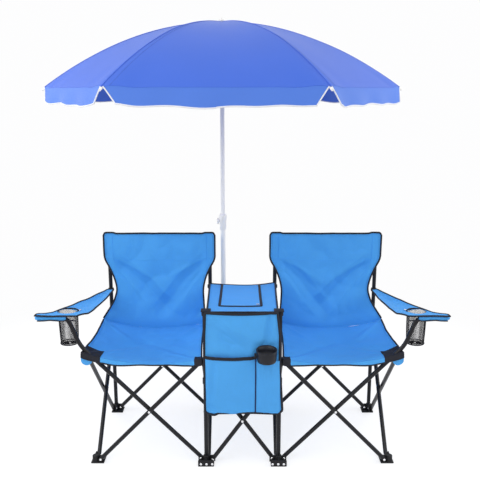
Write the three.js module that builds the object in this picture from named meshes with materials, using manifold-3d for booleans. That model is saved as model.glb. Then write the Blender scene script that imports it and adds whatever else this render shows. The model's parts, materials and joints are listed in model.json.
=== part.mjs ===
import * as THREE from "three";
import { mergeVertices } from "three/addons/utils/BufferGeometryUtils.js";
import Module from "manifold-3d";

// A folding camping loveseat: two sling seats on one steel scissor frame, a cooler bag between them as
// the table, and a parasol that stands in a holder behind the bag.
// Millimetres, +Z up. While it is built, X is 0 midway between the seats and Y is 0 at the front posts,
// with the back at +Y. The last lines move the origin under the middle of the whole object.
// "outward" means away from the middle: side is -1 for the left chair and +1 for the right one.

// Driving sizes of the frame.
const seatBay = 422; // from post to post across a seat, and from the front posts to the back ones
const middleBay = 274; // from inner post to inner post
const hubHeight = 407; // where the seat scissors end on their sliding hubs
const ringHeight = 332; // where the middle scissor ends on its sliding rings
const pivotHeight = 16; // the rivets in the feet
const backHeight = 800; // tops of the back uprights
const frontPostHeight = 604;
const tube = { radius: 8, wall: 1.2, sides: 8, end: 6 };
const pivotOffset = 21; // from a post's axis to the rivets beside it
const middleOffset = 24.5; // the same for the middle scissor
const crossOffset = 8.2; // from a scissor's middle plane to each of its two tubes
const rivet = { radius: 2.5, hole: 3.2, gap: 0.4, headRadius: 4.5, head: 1.5, sides: 6, sink: 0.6 };
const lug = { thick: 5, reach: 9.5, half: 10, bite: 2 };
const foot = { pad: 5, half: 11, height: 26, edge: 16, reach: 34, toe: 38, toeHalf: 30 };
const hub = { half: 11, bore: 8.4, height: 30 };
const ring = { height: 24 };
const overrun = 2; // how far a cut reaches past what it cuts
const clearance = 0.3; // between pieces that touch

// Arm tube: it goes on from the seat's front corner, steepens, and turns outward under the arm.
const arm = {
  lowCornerX: 597, lowCornerZ: 468, highCornerX: 636, height: 575, tipX: 748, round: 24, bends: 3,
};
const cornerTab = { thick: 5, sleeve: 4, biteShare: 0.8, tilt: 38 }; // tilt: its rivet's turn in degrees

// Cloth.
const cloth = 4;
const seat = {
  inner: 149, backInner: 160, outer: 590, frontInnerZ: 420.9, frontOuterZ: 446,
  backInnerZ: 420, backOuterZ: 434, sag: 30, sagMore: 14, lip: 29, lipInner: 172, lipOuter: 533,
};
const back = {
  top: 806, bendY: 392, frontY: 409, outer: 578, inner: 115, crease: 7,
  sleeveZ: 690, sleeveHalf: 17, sleeveShift: 3, sleeveDeep: 24,
};
const armRest = {
  over: 13, fall: 28, past: 4, inset: 13, front: -7, backGap: 11, sleeveLong: 80, sleeveBack: 23,
  sleeveUnder: 12, loopHalf: 14, loopUnder: 12, loopOver: 2,
};
const cup = { fromTip: 100, y: 62, radius: 38, wall: 2, deep: 132, sides: 16, floor: 3 };
const bore = 8.6; // of a cloth or moulded loop round a tube

// Cooler bag.
const bag = {
  lowHalf: 117, highHalf: 128, widenZ: 432, front: -24, back: 412, low: 210, frontTop: 606, backTop: 580,
  wall: 6, top: 5, apron: 4, apronHalf: 136, stepY: 20, stepZ: 352,
  loopHalf: 11.5, loopHeight: 12, loopFrontZ: 588, loopBackZ: 564, strapHalf: 5,
};
const lid = { left: -85, right: 70, front: 70, back: 400, gap: 0.5 };
const pocket = { deep: 16, wall: 3, high: 441, low: 213, left: 134, divide: 47, gap: 5, right: 124 };
const bottleRing = { x: 87, radius: 36, out: 30, low: 426, high: 476, wall: 2.5, sides: 16 };

// Parasol.
const pole = { x: -82, y: 460, lowRadius: 10, lowBore: 9.1, radius: 8.5, bore: 7.5 };
const lowPole = { foot: 14.3, top: 820 };
const highPole = { foot: 640 };
const holder = {
  radius: 15, bore: 10.5, low: 12, high: 64, barLow: 22, barHigh: 34, barHalf: 8,
  ringLow: 340, ringHigh: 356,
};
const collar = { low: 808, high: 875, radius: 16, flare: 2, end: 12, bore: 8.9, taper: 13 };
const knob = { z: 845, shank: 3, hole: 3.7, radius: 9, thick: 8, wing: 3, wingReach: 13 };
const canopy = {
  radius: 717, drop: 252, ribZ: 1640, lift: 4.6, cloth: 2, hole: 11, sag: 5,
  valance: 58, valanceTopInset: 7, valanceInset: 45,
};
const crown = { radius: 22, under: 12, over: 2.8, slot: 7, slotFrom: 10.6, neck: 8, cap: 15 };
const finial = { over: 1.3, high: 12.1, tip: 4 };
const rib = {
  pivot: 15, radius: 3, inside: 3, steps: 6, sides: 6, joint: 365, past: 1.5, tip: 4.2, tipLong: 9,
};
const stretcher = { radius: 2.5, inside: 2.5, apart: 6 };
const runner = { half: 14, sleeve: 13, sleeveLong: 26, bore: 8.9, slot: 6, slotFrom: 11.2 };

// Worked-out places.
const innerX = middleBay / 2;
const outerX = innerX + seatBay;
const depth = seatBay;
const tubeFlat = tube.radius * Math.cos(Math.PI / tube.sides); // from a tube's axis to its flat sides
const ribShares = [0, 1, 2, 3, 4, 5].map((k) => k / 6);

const looks = {
  steel: { color: 0x2b2c2f, roughness: 0.45, metalness: 0.6 },
  moulded: { color: 0x1c1c1e, roughness: 0.7, metalness: 0 },
  blueCloth: { color: 0x3f8be0, roughness: 0.95, metalness: 0 },
  canopyCloth: { color: 0x4a6fe0, roughness: 0.9, metalness: 0 },
  whiteTube: { color: 0xf2f2f4, roughness: 0.4, metalness: 0.1 },
};

const wasm = await Module();
wasm.setup();
const group = new THREE.Group();
const point = (x, y, z) => new THREE.Vector3(x, y, z);
const mix = (a, b, share) => a + (b - a) * share;

// Solids.

// A closed geometry as a solid with its faces out.
function solidOf(geometry) {
  const bare = geometry.index ? geometry.toNonIndexed() : geometry.clone();
  bare.deleteAttribute("normal");
  bare.deleteAttribute("uv");
  const merged = mergeVertices(bare);
  const corners = merged.index.array;
  const triVerts = [];
  for (let i = 0; i < corners.length; i += 3) {
    const [a, b, c] = [corners[i], corners[i + 1], corners[i + 2]];
    if (a !== b && b !== c && c !== a) triVerts.push(a, b, c);
  }
  const vertProperties = new Float32Array(merged.attributes.position.array);
  const build = (order) =>
    new wasm.Manifold(new wasm.Mesh({ numProp: 3, vertProperties, triVerts: new Uint32Array(order) }));
  const solid = build(triVerts);
  return solid.volume() > 0 ? solid : build(triVerts.reverse());
}

function join(...solids) {
  return solids.reduce((all, next) => all.add(next));
}

function cut(solid, ...tools) {
  return tools.reduce((left, tool) => left.subtract(tool), solid);
}

// A named mesh of one solid, in one of the looks.
function place(name, solid, look) {
  const made = solid.getMesh();
  const indexed = new THREE.BufferGeometry();
  const places = new Float32Array(made.vertProperties);
  indexed.setAttribute("position", new THREE.BufferAttribute(places, made.numProp));
  indexed.setIndex(new THREE.BufferAttribute(new Uint32Array(made.triVerts), 1));
  const geometry = indexed.toNonIndexed();
  geometry.computeVertexNormals();
  const mesh = new THREE.Mesh(geometry, new THREE.MeshStandardMaterial(looks[look]));
  mesh.name = name;
  group.add(mesh);
}

// A box between two values on each axis, given in either order.
function box([x0, x1], [y0, y1], [z0, z1]) {
  const geometry = new THREE.BoxGeometry(Math.abs(x1 - x0), Math.abs(y1 - y0), Math.abs(z1 - z0));
  geometry.translate((x0 + x1) / 2, (y0 + y1) / 2, (z0 + z1) / 2);
  return solidOf(geometry);
}

// A route through points that takes one step to each of them.
class Route extends THREE.Curve {
  constructor(points) {
    super();
    this.points = points;
  }
  getPoint(share) {
    const along = share * (this.points.length - 1);
    const first = Math.min(Math.floor(along), this.points.length - 2);
    return this.points[first].clone().lerp(this.points[first + 1], along - first);
  }
  getPointAt(share) {
    return this.getPoint(share);
  }
  getTangentAt(share) {
    const at = Math.round(share * (this.points.length - 1));
    const before = this.points[Math.max(at - 1, 0)];
    const here = this.points[at];
    const after = this.points[Math.min(at + 1, this.points.length - 1)];
    const tangent = here.clone().sub(before).normalize();
    return tangent.add(after.clone().sub(here).normalize()).normalize();
  }
}

function polygon(radius, sides) {
  return Array.from({ length: sides }, (unused, i) => {
    const angle = ((i + 0.5) * 2 * Math.PI) / sides;
    return new THREE.Vector2(radius * Math.cos(angle), radius * Math.sin(angle));
  });
}

// A round bar through points, hollow where a hole's radius is given.
function pipe(points, radius, hole = 0, sides = tube.sides) {
  const shape = new THREE.Shape(polygon(radius, sides));
  if (hole) shape.holes.push(new THREE.Path(polygon(hole, sides)));
  const options = { steps: points.length - 1, bevelEnabled: false, extrudePath: new Route(points) };
  return solidOf(new THREE.ExtrudeGeometry(shape, options));
}

// A turned piece: its profile is pairs of radius and height along a direction from a point.
function turned(profile, from, along, sides) {
  const outline = profile.map(([radius, height]) => new THREE.Vector2(radius, height));
  const geometry = new THREE.LatheGeometry(outline, sides);
  geometry.rotateY(Math.PI / sides);
  geometry.applyQuaternion(new THREE.Quaternion().setFromUnitVectors(point(0, 1, 0), along));
  geometry.translate(from.x, from.y, from.z);
  return solidOf(geometry);
}

// A flat outline in Y and Z, drawn out along X.
function prismAlongX(outline, x0, x1) {
  const shape = new THREE.Shape(outline.map(([y, z]) => new THREE.Vector2(y, z)));
  const geometry = new THREE.ExtrudeGeometry(shape, { depth: x1 - x0, bevelEnabled: false });
  geometry.applyMatrix4(new THREE.Matrix4().makeBasis(point(0, 1, 0), point(0, 0, 1), point(1, 0, 0)));
  geometry.translate(x0, 0, 0);
  return solidOf(geometry);
}

// A sheet of cloth: where() gives its point for a share across, a share along and one of its two faces.
function sheet(columns, rows, where, closed = false) {
  const across = closed ? columns : columns + 1;
  const spot = (face, j, i) => (face * (rows + 1) + j) * across + (closed ? i % columns : i);
  const positions = [];
  for (const face of [0, 1])
    for (let j = 0; j <= rows; j++)
      for (let i = 0; i < across; i++) positions.push(...where(i / columns, j / rows, face).toArray());
  const faces = [];
  const quad = (a, b, c, d) => faces.push(a, b, c, a, c, d);
  for (let i = 0; i < columns; i++) {
    for (let j = 0; j < rows; j++) {
      quad(spot(0, j, i), spot(0, j, i + 1), spot(0, j + 1, i + 1), spot(0, j + 1, i));
      quad(spot(1, j, i), spot(1, j + 1, i), spot(1, j + 1, i + 1), spot(1, j, i + 1));
    }
    quad(spot(0, 0, i + 1), spot(0, 0, i), spot(1, 0, i), spot(1, 0, i + 1));
    quad(spot(0, rows, i), spot(0, rows, i + 1), spot(1, rows, i + 1), spot(1, rows, i));
  }
  for (let j = 0; j < rows && !closed; j++) {
    quad(spot(0, j, 0), spot(0, j + 1, 0), spot(1, j + 1, 0), spot(1, j, 0));
    quad(spot(0, j + 1, columns), spot(0, j, columns), spot(1, j, columns), spot(1, j + 1, columns));
  }
  const geometry = new THREE.BufferGeometry();
  geometry.setAttribute("position", new THREE.Float32BufferAttribute(positions, 3));
  geometry.setIndex(faces);
  return solidOf(geometry);
}

// Scissor tubes.

// The rivet of a tube's end: its shank goes through the lug beside the tube, to a head past it.
function lugRivet(pivot, normal, side) {
  const start = pivot.clone().addScaledVector(normal, side * crossOffset);
  const shank = crossOffset + lug.thick + rivet.gap;
  const profile = [
    [0, 0], [rivet.radius, 0], [rivet.radius, shank],
    [rivet.headRadius, shank], [rivet.headRadius, shank + rivet.head], [0, shank + rivet.head],
  ];
  return turned(profile, start, normal.clone().multiplyScalar(-side), rivet.sides);
}

// A rivet head on the side of a tube that faces away from its scissor.
function outerHead(pivot, normal, side) {
  const start = pivot.clone().addScaledVector(normal, side * (crossOffset + tubeFlat - rivet.sink));
  const height = rivet.sink + rivet.head;
  const profile = [[0, 0], [rivet.headRadius, 0], [rivet.headRadius, height], [0, height]];
  return turned(profile, start, normal.clone().multiplyScalar(side), rivet.sides);
}

// One tube of a scissor, on one side of its plane. It holds the middle rivet or has the hole for it.
function scissorTube({ from, to, normal, side, holdsRivet, goesOn = [], topRivet }) {
  const along = to.clone().sub(from).normalize();
  const shift = normal.clone().multiplyScalar(side * crossOffset);
  const foot = from.clone().addScaledVector(along, -tube.end).add(shift);
  const rest = goesOn.length ? goesOn : [to.clone().addScaledVector(along, tube.end)];
  const points = [foot, ...rest.map((spot) => spot.clone().add(shift))];
  const middle = from.clone().lerp(to, 0.5);
  const own = middle.clone().add(shift);
  const other = middle.clone().sub(shift);
  let solid = pipe(points, tube.radius, tube.radius - tube.wall);
  solid = join(solid, lugRivet(from, normal, side), outerHead(from, normal, side));
  solid = join(solid, outerHead(middle, normal, side));
  if (!goesOn.length) {
    solid = join(solid, topRivet ?? lugRivet(to, normal, side), outerHead(to, normal, side));
  }
  if (holdsRivet) return join(solid, pipe([own, other], rivet.radius, 0, rivet.sides));
  return cut(solid, pipe([own, middle], rivet.hole, 0, rivet.sides));
}

const acrossSeat = point(0, 1, 0);
const outwardOf = (side) => point(side, 0, 0);
const footAt = (x, y) => point(x, y, pivotHeight);
const hubAt = (x, y) => point(x, y, hubHeight);

// The bends of an arm tube past the seat's corner, in the scissor's own plane.
function armBends(side) {
  const corner = (x, z) => point(side * x, 0, z);
  const start = footAt(side * (innerX + pivotOffset), 0);
  const low = corner(arm.lowCornerX, arm.lowCornerZ);
  const high = corner(arm.highCornerX, arm.height);
  const tip = corner(arm.tipX, arm.height);
  const bend = (before, at, after) => {
    const entry = at.clone().add(before.clone().sub(at).setLength(arm.round));
    const leave = at.clone().add(after.clone().sub(at).setLength(arm.round));
    return new THREE.QuadraticBezierCurve3(entry, at, leave).getPoints(arm.bends);
  };
  return [...bend(start, low, high), ...bend(low, high, tip), tip];
}

// The tab on an arm tube at the seat's front corner. The outer scissor's long rivet goes through its
// tall hole, which leaves the rivet room to tilt as the frame folds.
const tilt = THREE.MathUtils.degToRad(cornerTab.tilt);
const roomFor = (radius) => // from the tab's middle to a disc on the tilted rivet
  (cornerTab.thick / 2 + radius * Math.sin(tilt)) / Math.cos(tilt) + rivet.gap;

function tabOfArmTube(side) {
  const at = hubAt(side * (outerX - pivotOffset), pivotOffset);
  const reach = side * (cornerTab.thick / 2);
  const start = crossOffset + tubeFlat - tube.wall * cornerTab.biteShare;
  const plate = box([at.x - reach, at.x + reach], [start, at.y + lug.reach],
    [at.z - lug.half, at.z + lug.half]);
  const slide = rivet.radius / Math.cos(tilt) + Math.abs(reach) * Math.tan(tilt) + rivet.gap - rivet.hole;
  const drill = (z) => pipe([point(at.x - 2 * reach, at.y, z), point(at.x + 2 * reach, at.y, z)],
    rivet.hole, 0, rivet.sides);
  const between = box([at.x - 2 * reach, at.x + 2 * reach],
    [at.y - rivet.hole, at.y + rivet.hole], [at.z - slide, at.z + slide]);
  return cut(plate, drill(at.z - slide), drill(at.z + slide), between);
}

// The outer scissor's long rivet: a sleeve, the shank through the tab, and the head past it.
function tabRivet(side) {
  const start = hubAt(side * (outerX + crossOffset), pivotOffset);
  const middle = crossOffset + pivotOffset;
  const sleeveEnd = middle - roomFor(cornerTab.sleeve);
  const headStart = middle + roomFor(rivet.headRadius);
  const profile = [
    [0, 0], [cornerTab.sleeve, 0], [cornerTab.sleeve, sleeveEnd], [rivet.radius, sleeveEnd],
    [rivet.radius, headStart], [rivet.headRadius, headStart],
    [rivet.headRadius, headStart + rivet.head], [0, headStart + rivet.head],
  ];
  return turned(profile, start, point(-side, 0, 0), rivet.sides);
}

for (const [word, side] of [["left", -1], ["right", 1]]) {
  const outward = outwardOf(side);
  const near = side * (innerX + pivotOffset);
  const far = side * (outerX - pivotOffset);
  const behind = depth - pivotOffset;
  const armTube = scissorTube({
    from: footAt(near, 0), to: hubAt(far, 0), normal: acrossSeat, side: 1, holdsRivet: true,
    goesOn: armBends(side),
  });
  place("arm_tube_" + word, join(armTube, tabOfArmTube(side)), "steel");
  place("front_strut_" + word, scissorTube({
    from: footAt(far, 0), to: hubAt(near, 0), normal: acrossSeat, side: -1 }), "steel");
  place("back_strut_from_inner_" + word, scissorTube({
    from: footAt(near, depth), to: hubAt(far, depth), normal: acrossSeat, side: 1,
    holdsRivet: true }), "steel");
  place("back_strut_from_outer_" + word, scissorTube({
    from: footAt(far, depth), to: hubAt(near, depth), normal: acrossSeat, side: -1 }), "steel");
  place("inner_strut_from_back_" + word, scissorTube({
    from: footAt(side * innerX, behind), to: hubAt(side * innerX, pivotOffset),
    normal: outward, side: 1, holdsRivet: true }), "steel");
  place("inner_strut_from_front_" + word, scissorTube({
    from: footAt(side * innerX, pivotOffset), to: hubAt(side * innerX, behind),
    normal: outward, side: -1 }), "steel");
  place("outer_strut_from_back_" + word, scissorTube({
    from: footAt(side * outerX, behind), to: hubAt(side * outerX, pivotOffset),
    normal: outward, side: 1, holdsRivet: true, topRivet: tabRivet(side) }), "steel");
  place("outer_strut_from_front_" + word, scissorTube({
    from: footAt(side * outerX, pivotOffset), to: hubAt(side * outerX, behind),
    normal: outward, side: -1 }), "steel");
}

// The middle scissor, low between the front posts.
const middleFoot = (x) => point(x, 0, pivotHeight);
const middleTop = (x) => point(x, 0, ringHeight);
const middleX = innerX - middleOffset;
place("middle_strut_left", scissorTube({
  from: middleFoot(-middleX), to: middleTop(middleX), normal: acrossSeat, side: -1 }), "steel");
place("middle_strut_right", scissorTube({
  from: middleFoot(middleX), to: middleTop(-middleX), normal: acrossSeat, side: 1,
  holdsRivet: true }), "steel");

// Feet, posts, hubs and rings.

// A lug beside a post: it reaches along X or Y, and its tube lies on one side of it.
function lugSolid({ x, y, alongX = 0, alongY = 0, tubeSide, low, high, pin, offset = pivotOffset }) {
  const start = foot.half - lug.bite;
  const end = offset + lug.reach;
  const thick = [-tubeSide * lug.thick, 0];
  const pivot = point(x + alongX * offset, y + alongY * offset, pin);
  const normal = alongX ? point(0, 1, 0) : point(1, 0, 0);
  const plate = alongX
    ? box([x + alongX * start, x + alongX * end], [y + thick[0], y + thick[1]], [low, high])
    : box([x + thick[0], x + thick[1]], [y + alongY * start, y + alongY * end], [low, high]);
  const reach = lug.thick + overrun;
  const hole = pipe(
    [pivot.clone().addScaledVector(normal, -reach), pivot.clone().addScaledVector(normal, reach)],
    rivet.hole, 0, rivet.sides,
  );
  return cut(plate, hole);
}

// A moulded foot: a pad on the ground, a socket and its lugs. pads gives how far the pad reaches.
// A toe is a wall across the foot's front, with a web back to the socket.
function footSolid({ x, y, lugs, pads, toe }) {
  const pad = box([x + pads.x[0], x + pads.x[1]], [y + pads.y[0], y + pads.y[1]], [0, foot.pad]);
  const socket = box([x - foot.half, x + foot.half], [y - foot.half, y + foot.half], [0, foot.height]);
  const plates = lugs.map((one) => lugSolid({ x, y, low: 0, high: foot.height, pin: pivotHeight, ...one }));
  if (!toe) return join(pad, socket, ...plates);
  const wall = box([x - foot.toeHalf, x + foot.toeHalf], [y - foot.toe, y - foot.toe + lug.thick],
    [0, foot.height]);
  const web = box([x - lug.thick / 2, x + lug.thick / 2], [y - foot.toe, y - foot.half + lug.bite],
    [0, foot.height]);
  return join(pad, socket, ...plates, wall, web);
}

// A foot with its upright tube, which is open at the top.
function post({ x, y, height, ...rest }) {
  const upright = pipe([point(x, y, foot.pad), point(x, y, height)], tube.radius);
  const hollow = pipe([point(x, y, foot.height), point(x, y, height + overrun)], tube.radius - tube.wall);
  return cut(join(footSolid({ x, y, ...rest }), upright), hollow);
}

// A moulded hub that slides on an upright, with its lugs.
function hubSolid({ x, y, z, height, lugs }) {
  const across = hub.half;
  const block = box([x - across, x + across], [y - across, y + across], [z - height / 2, z + height / 2]);
  const levels = { low: z - lug.half, high: z + lug.half, pin: z };
  const plates = lugs.map((one) => lugSolid({ x, y, ...levels, ...one }));
  const hole = pipe([point(x, y, z - height), point(x, y, z + height)], hub.bore);
  return cut(join(block, ...plates), hole);
}

// How far a pad reaches on the two sides of a post: far where there is a lug, near where there is none.
const reachOf = (low, high) => [low ? -foot.reach : -foot.edge, high ? foot.reach : foot.edge];

for (const [word, side] of [["left", -1], ["right", 1]]) {
  const left = side < 0;
  const inner = side * innerX;
  const outer = side * outerX;
  place("foot_front_" + word, footSolid({
    x: outer, y: 0, pads: { x: reachOf(!left, left), y: reachOf(false, true) },
    lugs: [{ alongX: -side, tubeSide: -1 }, { alongY: 1, tubeSide: -side }],
  }), "moulded");
  place("post_front_" + word, post({
    x: inner, y: 0, height: frontPostHeight, toe: true,
    pads: { x: [-foot.toeHalf, foot.toeHalf], y: [-foot.toe, foot.reach] },
    lugs: [{ alongX: side, tubeSide: 1 }, { alongX: -side, tubeSide: side, offset: middleOffset },
      { alongY: 1, tubeSide: -side }],
  }), "steel");
  place("upright_outer_" + word, post({
    x: outer, y: depth, height: backHeight, pads: { x: reachOf(!left, left), y: reachOf(true, false) },
    lugs: [{ alongX: -side, tubeSide: -1 }, { alongY: -1, tubeSide: side }],
  }), "steel");
  const innerUpright = post({
    x: inner, y: depth, height: backHeight, pads: { x: reachOf(left, !left), y: reachOf(true, false) },
    lugs: [{ alongX: side, tubeSide: 1 }, { alongY: -1, tubeSide: side }],
  });
  place("upright_inner_" + word, left ? join(innerUpright, poleHolder()) : innerUpright, "steel");
  place("hub_outer_" + word, hubSolid({
    x: outer, y: depth, z: hubHeight, height: hub.height,
    lugs: [{ alongX: -side, tubeSide: 1 }, { alongY: -1, tubeSide: -side }],
  }), "moulded");
  place("hub_inner_" + word, hubSolid({
    x: inner, y: depth, z: hubHeight, height: hub.height,
    lugs: [{ alongX: side, tubeSide: -1 }, { alongY: -1, tubeSide: -side }],
  }), "moulded");
  place("hub_front_" + word, hubSolid({
    x: inner, y: 0, z: hubHeight, height: hub.height,
    lugs: [{ alongX: side, tubeSide: -1 }, { alongY: 1, tubeSide: side }],
  }), "moulded");
  place("ring_middle_" + word, hubSolid({
    x: inner, y: 0, z: ringHeight, height: ring.height,
    lugs: [{ alongX: -side, tubeSide: -side, offset: middleOffset }],
  }), "moulded");
}

// The holder of the parasol on the left inner upright: a cup near the foot and a ring higher up.
function poleHolder() {
  const postAxis = point(-innerX, depth, 0);
  const away = point(pole.x, pole.y, 0).sub(postAxis);
  const inWall = tube.radius - tube.wall;
  const length = away.length() - inWall - holder.bore;
  const bar = (low, high) => {
    const geometry = new THREE.BoxGeometry(length, 2 * holder.barHalf, high - low);
    geometry.translate(length / 2 + inWall, 0, (low + high) / 2);
    geometry.rotateZ(Math.atan2(away.y, away.x));
    geometry.translate(postAxis.x, postAxis.y, 0);
    return solidOf(geometry);
  };
  const onPole = (low, high) => [point(pole.x, pole.y, low), point(pole.x, pole.y, high)];
  const round = (low, high) => pipe(onPole(low, high), holder.radius);
  const hole = (low, high) => pipe(onPole(low, high), holder.bore);
  const cupFloor = lowPole.foot - clearance;
  const lowCup = cut(join(round(holder.low, holder.high), bar(holder.barLow, holder.barHigh)),
    hole(cupFloor, holder.high + overrun));
  const highRing = cut(join(round(holder.ringLow, holder.ringHigh), bar(holder.ringLow, holder.ringHigh)),
    hole(holder.ringLow - overrun, holder.ringHigh + overrun));
  return join(lowCup, highRing);
}

// Cloth pieces of one chair.

const seatFrontY = crossOffset + tubeFlat + clearance;
const seatBackY = back.bendY - cloth / 2 - clearance;

// Height of the seat's upper face for a share across, from the middle outward, and a share from the front.
function seatHeight(across, along) {
  const inner = mix(seat.frontInnerZ, seat.backInnerZ, along);
  const outer = mix(seat.frontOuterZ, seat.backOuterZ, along);
  const bowl = 4 * across * (1 - across);
  return mix(inner, outer, across) - bowl * (seat.sag + seat.sagMore * Math.sin(Math.PI * along));
}

// The panel's front row is its lip, which reaches over the struts from the hub's lug to the arm tube.
function seatPanel(side) {
  const rows = 6;
  const panel = sheet(8, rows + 1, (across, share, face) => {
    const along = Math.max(0, share - (1 - share) / rows);
    return point(
      side * mix(mix(seat.inner, seat.backInner, along), seat.outer, across),
      share > 0 ? mix(seatFrontY, seatBackY, along) : seatFrontY - seat.lip,
      seatHeight(across, along) - face * cloth,
    );
  });
  const corner = (from, to) => box([side * from, side * to],
    [seatFrontY - seat.lip - overrun, seatFrontY], [ringHeight, arm.height]);
  return cut(panel, corner(seat.inner - overrun, seat.lipInner), corner(seat.lipOuter, seat.outer + overrun));
}

// The backrest's edges as shares: of its height, then of its width, drawn in from each side at the waist.
const backEdgeShares = [
  [0, -0.036, 0.097], [0.12, 0.02, 0.098], [0.25, 0.078, 0.105], [0.38, 0.108, 0.11],
  [0.5, 0.085, 0.088], [0.62, 0.04, 0.045], [0.7, 0, 0], [1, 0, 0],
];

function edgeShare(height, column) {
  const next = Math.max(1, backEdgeShares.findIndex(([share]) => share >= height));
  const [low, high] = [backEdgeShares[next - 1], backEdgeShares[next]];
  return mix(low[column], high[column], (height - low[0]) / (high[0] - low[0]));
}

// A shallow pull line from each sleeve's end down to the middle of the bend, as a share of its depth.
const creaseShares = { from: 0.7, fromSide: 0.06, to: 0.32, toSide: 0.42, wide: 0.09 };

function crease(across, height) {
  const aside = Math.min(across, 1 - across);
  const fall = (creaseShares.from - height) / (creaseShares.from - creaseShares.to);
  if (fall < 0 || fall > 1) return 0;
  const middle = mix(creaseShares.fromSide, creaseShares.toSide, fall);
  return Math.max(0, 1 - Math.abs(aside - middle) / creaseShares.wide) * Math.sin(Math.PI * fall);
}

function backPanel(side) {
  const width = back.outer - back.inner;
  const panel = sheet(10, 10, (across, height, face) => {
    const innerEdge = back.inner + width * edgeShare(height, 2);
    const outerEdge = back.outer - width * edgeShare(height, 1);
    const seatShare = (mix(innerEdge, outerEdge, across) - seat.backInner) / (seat.outer - seat.backInner);
    const low = seatHeight(Math.min(Math.max(seatShare, 0), 1), 1) - cloth;
    const lean = Math.min(1, height / creaseShares.from);
    const hollow = back.crease * crease(across, height);
    const y = mix(back.bendY, back.frontY, lean * (2 - lean)) + hollow + (face - 0.5) * cloth;
    return point(side * mix(innerEdge, outerEdge, across), y, mix(low, back.top, height));
  });
  const sleeve = (x, shift) => {
    const [half, low, deep] = [back.sleeveHalf, back.frontY, back.sleeveDeep];
    const outline = new THREE.Shape([
      new THREE.Vector2(-half, 0), new THREE.Vector2(half, 0),
      new THREE.Vector2(half - deep / 4, deep), new THREE.Vector2(deep / 4 - half, deep),
    ]);
    const tall = { depth: back.top - back.sleeveZ, bevelEnabled: false };
    const geometry = new THREE.ExtrudeGeometry(outline, tall);
    geometry.translate(side * (x + shift), low, back.sleeveZ);
    const hole = pipe([point(side * x, depth, back.sleeveZ - overrun),
      point(side * x, depth, backHeight + clearance)], bore);
    return cut(solidOf(geometry), hole);
  };
  const post = (x) =>
    pipe([point(side * x, depth, 0), point(side * x, depth, backHeight + clearance)], bore);
  const sewn = join(panel, sleeve(outerX, back.sleeveShift), sleeve(innerX, -back.sleeveShift));
  return cut(sewn, post(outerX), post(innerX));
}

// The arm rest's outline, from front to back: shares of its length, then of its width for both edges.
const armEdgeShares = [
  [0, 0.272, 1], [0.065, 0.097, 0.961], [0.098, 0.083, 0.767], [0.165, 0.068, 0.709],
  [0.266, 0.049, 0.612], [0.615, 0, 0.35], [1, 0, 0.131],
];
const armInnerX = outerX - armRest.inset;
const armTipX = arm.tipX + armRest.past;
const armFrontZ = arm.height + armRest.over;
const armBackZ = armFrontZ - armRest.fall;
const cupX = arm.tipX - cup.fromTip;
const cupLow = armFrontZ - cup.deep;

function armRestSolid(side) {
  const top = sheet(6, armEdgeShares.length - 1, (across, along, face) => {
    const [share, inner, outer] = armEdgeShares[Math.round(along * (armEdgeShares.length - 1))];
    const x = mix(armInnerX, armTipX, mix(inner, outer, across));
    const z = mix(armFrontZ, armBackZ, share) - face * cloth;
    return point(side * x, mix(armRest.front, depth - armRest.backGap, share), z);
  });
  const axis = (x) => point(side * x, crossOffset, arm.height);
  const hem = cut(
    box([side * (armTipX - armRest.sleeveLong), side * armTipX], [armRest.front, armRest.sleeveBack],
      [arm.height - armRest.sleeveUnder, armFrontZ - cloth / 2]),
    pipe([axis(armTipX - armRest.sleeveLong - overrun), axis(arm.tipX + clearance)], bore),
  );
  const loop = cut(
    box([side * (outerX - armRest.loopHalf), side * (outerX + armRest.loopHalf)],
      [depth - armRest.loopHalf, depth + armRest.loopHalf],
      [armBackZ - armRest.loopUnder, armBackZ + armRest.loopOver]),
    pipe([point(side * outerX, depth, armBackZ - armRest.loopUnder - overrun),
      point(side * outerX, depth, armBackZ + armRest.loopOver + overrun)], bore),
  );
  const net = [
    [0, cupLow], [cup.radius, cupLow], [cup.radius, armFrontZ - cloth * 1.6],
    [cup.radius - cup.wall, armFrontZ - cloth * 1.6], [cup.radius - cup.wall, cupLow + cup.floor],
    [0, cupLow + cup.floor],
  ];
  const centre = point(side * cupX, cup.y, 0);
  const mouth = pipe([point(side * cupX, cup.y, cupLow + cup.floor),
    point(side * cupX, cup.y, armFrontZ + overrun)], cup.radius - cup.wall, 0, cup.sides);
  return join(cut(join(top, hem), mouth), loop, turned(net, centre, point(0, 0, 1), cup.sides));
}

for (const [word, side] of [["left", -1], ["right", 1]]) {
  place("seat_" + word, seatPanel(side), "blueCloth");
  place("backrest_" + word, backPanel(side), "blueCloth");
  place("arm_rest_" + word, armRestSolid(side), "blueCloth");
}

// Cooler bag.

const bagSlope = (bag.backTop - bag.frontTop) / (bag.back - bag.front);
const bagTopAt = (y) => bag.frontTop + bagSlope * (y - bag.front);

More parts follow.
